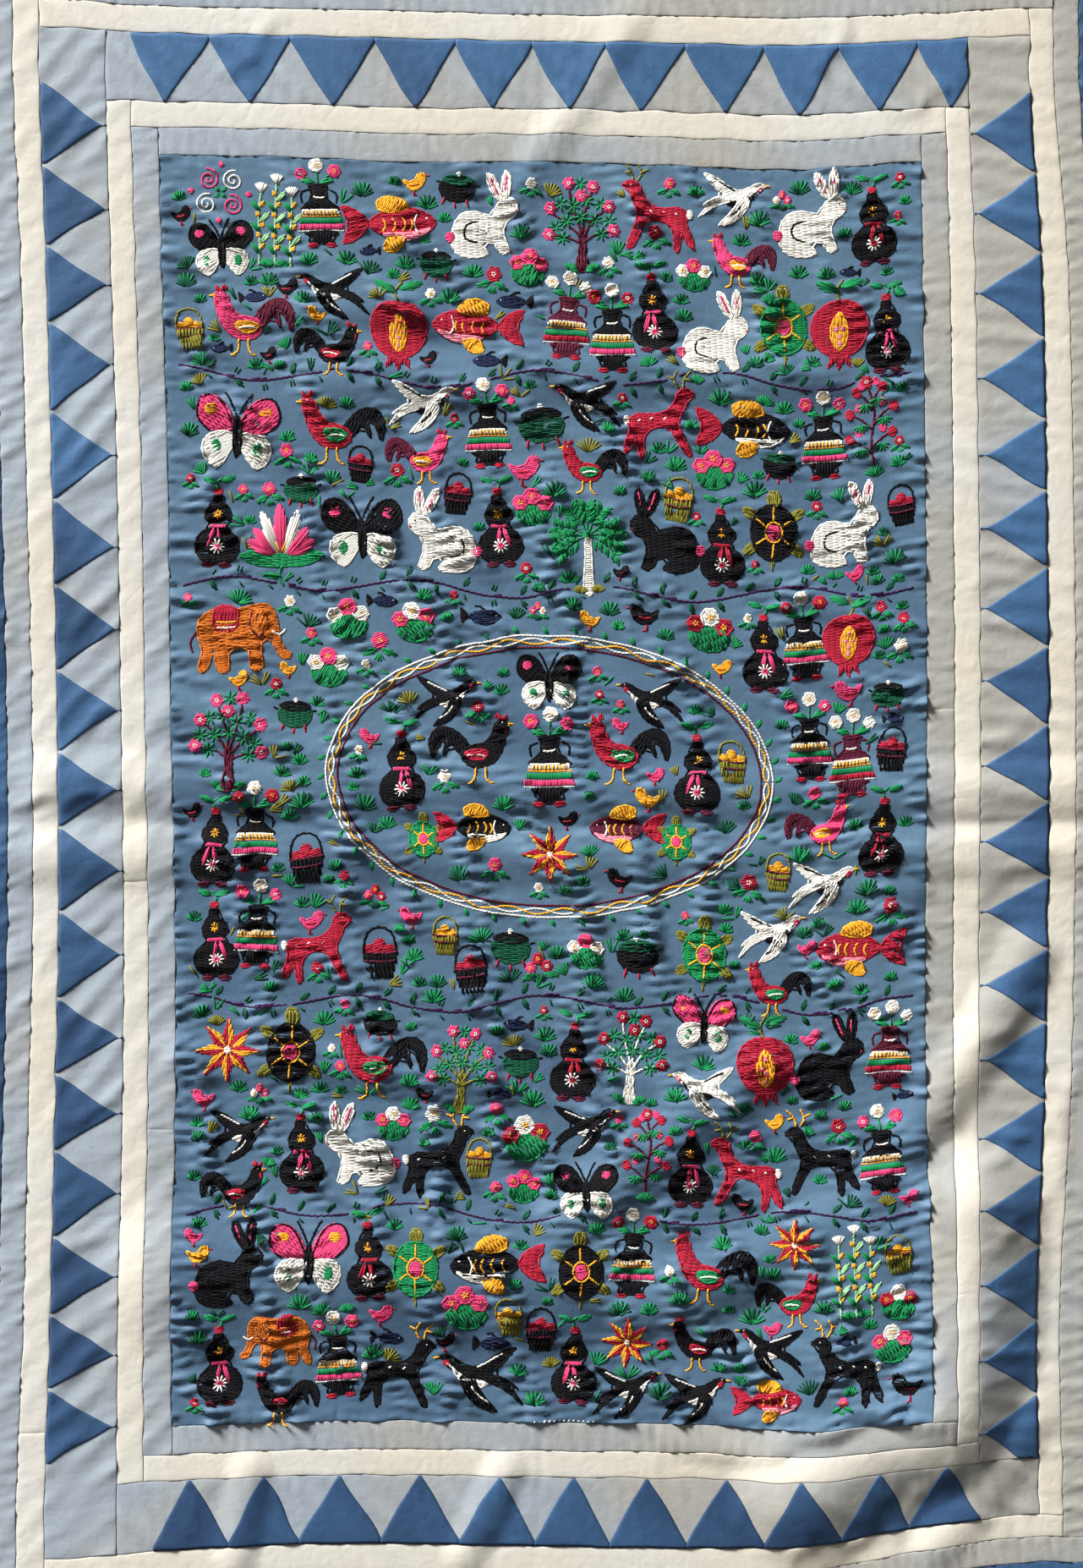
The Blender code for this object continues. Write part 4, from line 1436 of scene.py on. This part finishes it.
# Vines wind between the rows and pass behind whatever stands in their way.
along = np.linspace(-PANEL_WIDTH / 2 + MARGIN, PANEL_WIDTH / 2 - MARGIN, 27)
for vine in VINES:
    height, start = (rows[vine] + rows[vine + 1]) / 2, 2.1 * vine
    bends = np.arange(len(along))
    wave = height + 7 * np.sin(bends * 0.95 + start) + 3 * np.sin(bends * 0.31 + start)
    for up in (-0.8, 0.8):
        sew_behind(*line("plum", np.stack([along, wave + up], -1), 6.0, 0.4))
    green = ("green", "forest")[vine % 2]
    for x, y in list(zip(along, wave))[1:-1]:
        for side in (-1, 1):
            sew_behind(*leaf(green, x, y + 2 * side, 12, 5, random.uniform(35, 75) * side))

# Bushes, baskets and pots fill the wider gaps, and then small things the narrow ones.
for kinds, tries, least, most in ((BUSHES, 6000, 1.1, 1.6), (FILLERS, 9000, 1.0, 1.6),
                                  (FILLERS, 7000, 0.75, 1.0)):
    small = [worked(make, threads) for make, threads in kinds]
    for _ in range(tries):
        x = random.uniform(-PANEL_WIDTH / 2, PANEL_WIDTH / 2)
        y = random.uniform(-PANEL_LENGTH / 2, PANEL_LENGTH / 2)
        motif = small[random.integers(len(small))]
        angle, size, flip = random.uniform(-8, 8), random.uniform(least, most), random.choice([-1, 1])
        pick = placed(motif, x, y, angle, size, flip)
        if has_room(pick):
            sew(pick, 0)

# Grass grows behind everything.
for _ in range(GRASS):
    grass = layered(sprig(random.choice(["green", "green", "forest", "olive"]), 0, 0, 10))
    x, y = random.uniform(-1, 1, 2) * (PANEL_WIDTH / 2 - GRASS_MARGIN, PANEL_LENGTH / 2 - GRASS_MARGIN)
    angle, size = random.uniform(-30, 30), random.uniform(0.9, 1.5)
    for thread, stitches, _ in placed(grass, x, y, angle, size):
        sew_behind(thread, stitches)

# A short length of the panel's bottom seam is mended with white overcast stitches.
mended = [(x, 0.5 - PANEL_LENGTH / 2, x + 1.4, 3.2 - PANEL_LENGTH / 2)
          for x in np.arange(-16, 42, 4.6)]
sewn.append((*dash("white", *mended), np.zeros(len(mended), int)))

THREADS = {
    "black": (17, 16, 22),
    "white": (236, 233, 224),
    "pink": (230, 72, 124),
    "crimson": (178, 36, 60),
    "maroon": (92, 30, 52),
    "green": (28, 138, 82),
    "forest": (20, 84, 60),
    "gold": (246, 174, 48),
    "olive": (130, 126, 48),
    "salmon": (238, 144, 162),
    "mint": (156, 206, 150),
    "navy": (30, 40, 70),
    "orange": (206, 112, 40),
    "plum": (62, 30, 72),
}
# Each stitch is a closed, pointed bead of thread over the panel: a long one keeps its width
# between two rings of three points, and a short one is widest at one ring in its middle.
# A ring's points stand at SIDE over the panel, HALF_WIDTH to the left and right, and at CROWN.
HALF_WIDTH = 0.98
CROWN = 0.46
SIDE = 0.14
# Every stitch lies BEDDING over the cloth, and higher by LAYER for each layer below it.
BEDDING = 0.1
LAYER = 0.32
# A stitch longer than LONG has two rings, TAPER from its tips.
LONG = 3.2
TAPER = 0.7
# How far the ends of a stitch stray, and the run of thread in which its strands turn once.
STRAY = 0.12
TWIST = 9.0
# Corners of a bead's faces: 0 is its first tip, 1, 2 and 3 are its first ring's left, right and
# crown, 4, 5 and 6 its second ring's, and 7 its last tip. A seed has one ring.
BEAD_FACES = ((0, 3, 1), (0, 2, 3), (0, 1, 2), (1, 3, 6), (1, 6, 4), (3, 2, 5), (3, 5, 6),
              (1, 4, 5), (1, 5, 2), (7, 4, 6), (7, 6, 5), (7, 5, 4))
SEED_FACES = ((0, 3, 1), (0, 2, 3), (0, 1, 2), (4, 1, 3), (4, 3, 2), (4, 2, 1))


def stitch_points(stitches, layers, rings):
    """Points of every stitch, and how far along and across the thread each one is. rings is
    where its rings lie along each stitch, as shares of it. A stitch that spans a ripple is
    lifted by as much as the ripple stands over its rings."""
    tip = 0 * rings[:, :1]
    shares = np.concatenate([tip, np.repeat(rings, 3, 1), tip + 1], 1)
    heights = np.array([0, *(SIDE, SIDE, CROWN) * rings.shape[1], 0])
    sides = np.array([0, *(1, -1, 0) * rings.shape[1], 0])
    start, along = stitches[:, 0], stitches[:, 1] - stitches[:, 0]
    length = np.maximum(np.hypot(*along.T), 0.3)[:, None]
    side = np.stack([-along[:, 1], along[:, 0]], -1) / length
    spots = start[:, None] + along[:, None] * shares[..., None]
    x, y, z, _ = face_point(spots[..., 0], spots[..., 1], panel_limits, panel_relief)
    *_, crest, _ = face_point(*stitches.mean(1).T, panel_limits, panel_relief)
    ringed = heights > 0
    lift = np.clip(crest - z[:, ringed].mean(1), 0, None) + BEDDING
    z = z + ringed * lift[:, None]
    x, y = x + side[:, :1] * HALF_WIDTH * sides, y + side[:, 1:] * HALF_WIDTH * sides
    points = np.stack([x, y, z + heights + LAYER * layers[:, None]], -1)
    return points.reshape(-1, 3), (shares * length).ravel(), np.broadcast_to(sides, x.shape).ravel()


def thread_mesh(thread, colour):
    """All the stitches of one thread as one object, with a shade of its own on each stitch."""
    stitches = np.concatenate([part for name, part, _ in sewn if name == thread])
    layers = np.concatenate([below for name, _, below in sewn if name == thread])
    dice = np.random.default_rng(len(stitches))
    stitches = stitches + dice.normal(0, STRAY, stitches.shape)
    length = np.hypot(*(stitches[:, 1] - stitches[:, 0]).T)
    long = length > LONG
    taper = TAPER / length[long]
    points, faces, marks = [], [], {"tone": [], "run": [], "across": []}
    first = 0
    for which, rings, corners in ((long, np.stack([taper, 1 - taper], 1), BEAD_FACES),
                                  (~long, np.full((np.sum(~long), 1), 0.5), SEED_FACES)):
        more, run, across = stitch_points(stitches[which], layers[which], rings)
        size = 2 + 3 * rings.shape[1]
        starts = first + size * np.arange(which.sum())
        points.append(more)
        faces.append((np.array(corners) + starts[:, None, None]).reshape(-1, 3))
        tone = np.repeat(dice.uniform(0, 1, which.sum()), size)
        for mark, values in (("tone", tone), ("run", run), ("across", across)):
            marks[mark].append(values)
        first += len(more)
    marks = {mark: np.concatenate(values) for mark, values in marks.items()}
    piece = new_piece(thread + "_thread", np.concatenate(points), np.concatenate(faces).tolist(),
                      thread_material(thread, colour), marks)
    return piece


def thread_material(thread, colour):
    """Cotton in two strands, laid with a slight twist: the height is -cos(2 pi (across + run /
    TWIST)) / 2 and fine fibres. The colour follows that height, a painted shade in the groove
    between the strands, and the dye varies a little from stitch to stitch."""
    material, wire = new_material(thread + "_cotton")
    turns = wire.add(wire.mark("across"), wire.math("DIVIDE", wire.mark("run"), TWIST))
    strands = wire.math("COSINE", wire.times(turns, 2 * np.pi))
    fibres = wire.noise(wire.node("ShaderNodeTexCoord").outputs["Object"], 1100.0, 2.0, 0.6)
    rise = wire.add(wire.times(strands, -0.5), fibres)
    # Painted shade: the colour darkens with the height, most in the groove between the strands, and
    # tone varies it from stitch to stitch.
    shade = wire.add(wire.times(wire.mark("tone"), 0.22), wire.add(wire.times(rise, 0.13), 0.86))
    dyed = wire.blend(1.0, paint(*colour), wire.grey(shade), "MULTIPLY")
    bump = wire.node("ShaderNodeBump", None, Strength=0.35, Distance=0.15 * MM, Height=rise)
    set_shader(wire, Base_Color=dyed, Normal=bump.outputs[0], Roughness=0.66, Sheen_Weight=0.02,
               Specular_IOR_Level=0.12)
    return material


threads = [thread_mesh(thread, colour) for thread, colour in THREADS.items()]

# ---------------------------------------------------------------------------------------
# Floor, light and camera: the cloth lies on a plain pale floor under soft light from its
# upper left, low enough to show the puckers, and the camera looks straight down at it.
# ---------------------------------------------------------------------------------------
# The length of cloth in view, how far above it the camera is, and the camera's sensor.
VIEW_LENGTH = 1483
VIEW_FROM = 3000
SENSOR = 36
# The floor in metres: half its side, and how far it is under the cloth.
FLOOR_REACH = 4
FLOOR_DROP = 0.0005
# The window in metres: where it is and its side. Its power is in watts.
WINDOW_PLACE = (-24, 28, 13.4)
WINDOW_SIDE = 12
WINDOW_POWER = 35500
# Light of the room on the side away from the window, and towards it.
WARM_SIDE = (0.66, 0.56, 0.46, 1)
COOL_SIDE = (1.1, 1.2, 1.34, 1)
ROOM_STRENGTH = 0.16

corners = ((-1, -1), (1, -1), (1, 1), (-1, 1))
floor_mesh = bpy.data.meshes.new("floor")
floor_mesh.from_pydata([(x * FLOOR_REACH, y * FLOOR_REACH, -FLOOR_DROP) for x, y in corners],
                       [], [(0, 1, 2, 3)])
floor_paint, wire = new_material("floor_paint")
set_shader(wire, Base_Color=paint(225, 224, 221), Roughness=0.8)
floor_mesh.materials.append(floor_paint)
floor = bpy.data.objects.new("floor", floor_mesh)
bpy.context.collection.objects.link(floor)

# The room is cool and pale towards the window, and warm and dim on the other side.
world = bpy.data.worlds.new("studio")
world.use_nodes = True
wire = Wiring(world.node_tree)
heading = wire.node("ShaderNodeTexCoord").outputs["Generated"]
towards = wire.node("ShaderNodeSeparateXYZ", None, Vector=heading).outputs
share = wire.add(wire.times(towards["Y"], 0.45), wire.less(0.5, wire.times(towards["X"], 0.35)))
share = wire.node("ShaderNodeClamp", None, Value=share).outputs[0]
background = world.node_tree.nodes["Background"].inputs
world.node_tree.links.new(wire.blend(share, WARM_SIDE, COOL_SIDE), background["Color"])
background["Strength"].default_value = ROOM_STRENGTH
bpy.context.scene.world = world

window = bpy.data.lights.new("window", "AREA")
window.size = WINDOW_SIDE
window.energy = WINDOW_POWER
window.color = (1.0, 0.985, 0.955)
window_object = bpy.data.objects.new("window", window)
window_object.location = WINDOW_PLACE
window_object.rotation_euler = window_object.location.to_track_quat("Z", "Y").to_euler()
bpy.context.collection.objects.link(window_object)

camera = bpy.data.cameras.new("camera")
camera.sensor_width = SENSOR
camera.lens = SENSOR * VIEW_FROM / VIEW_LENGTH
camera_object = bpy.data.objects.new("camera", camera)
camera_object.location = (-middle_x * MM, -middle_y * MM, (VIEW_FROM + 2) * MM)
bpy.context.collection.objects.link(camera_object)
bpy.context.scene.camera = camera_object
bpy.context.scene.view_settings.view_transform = "Standard"
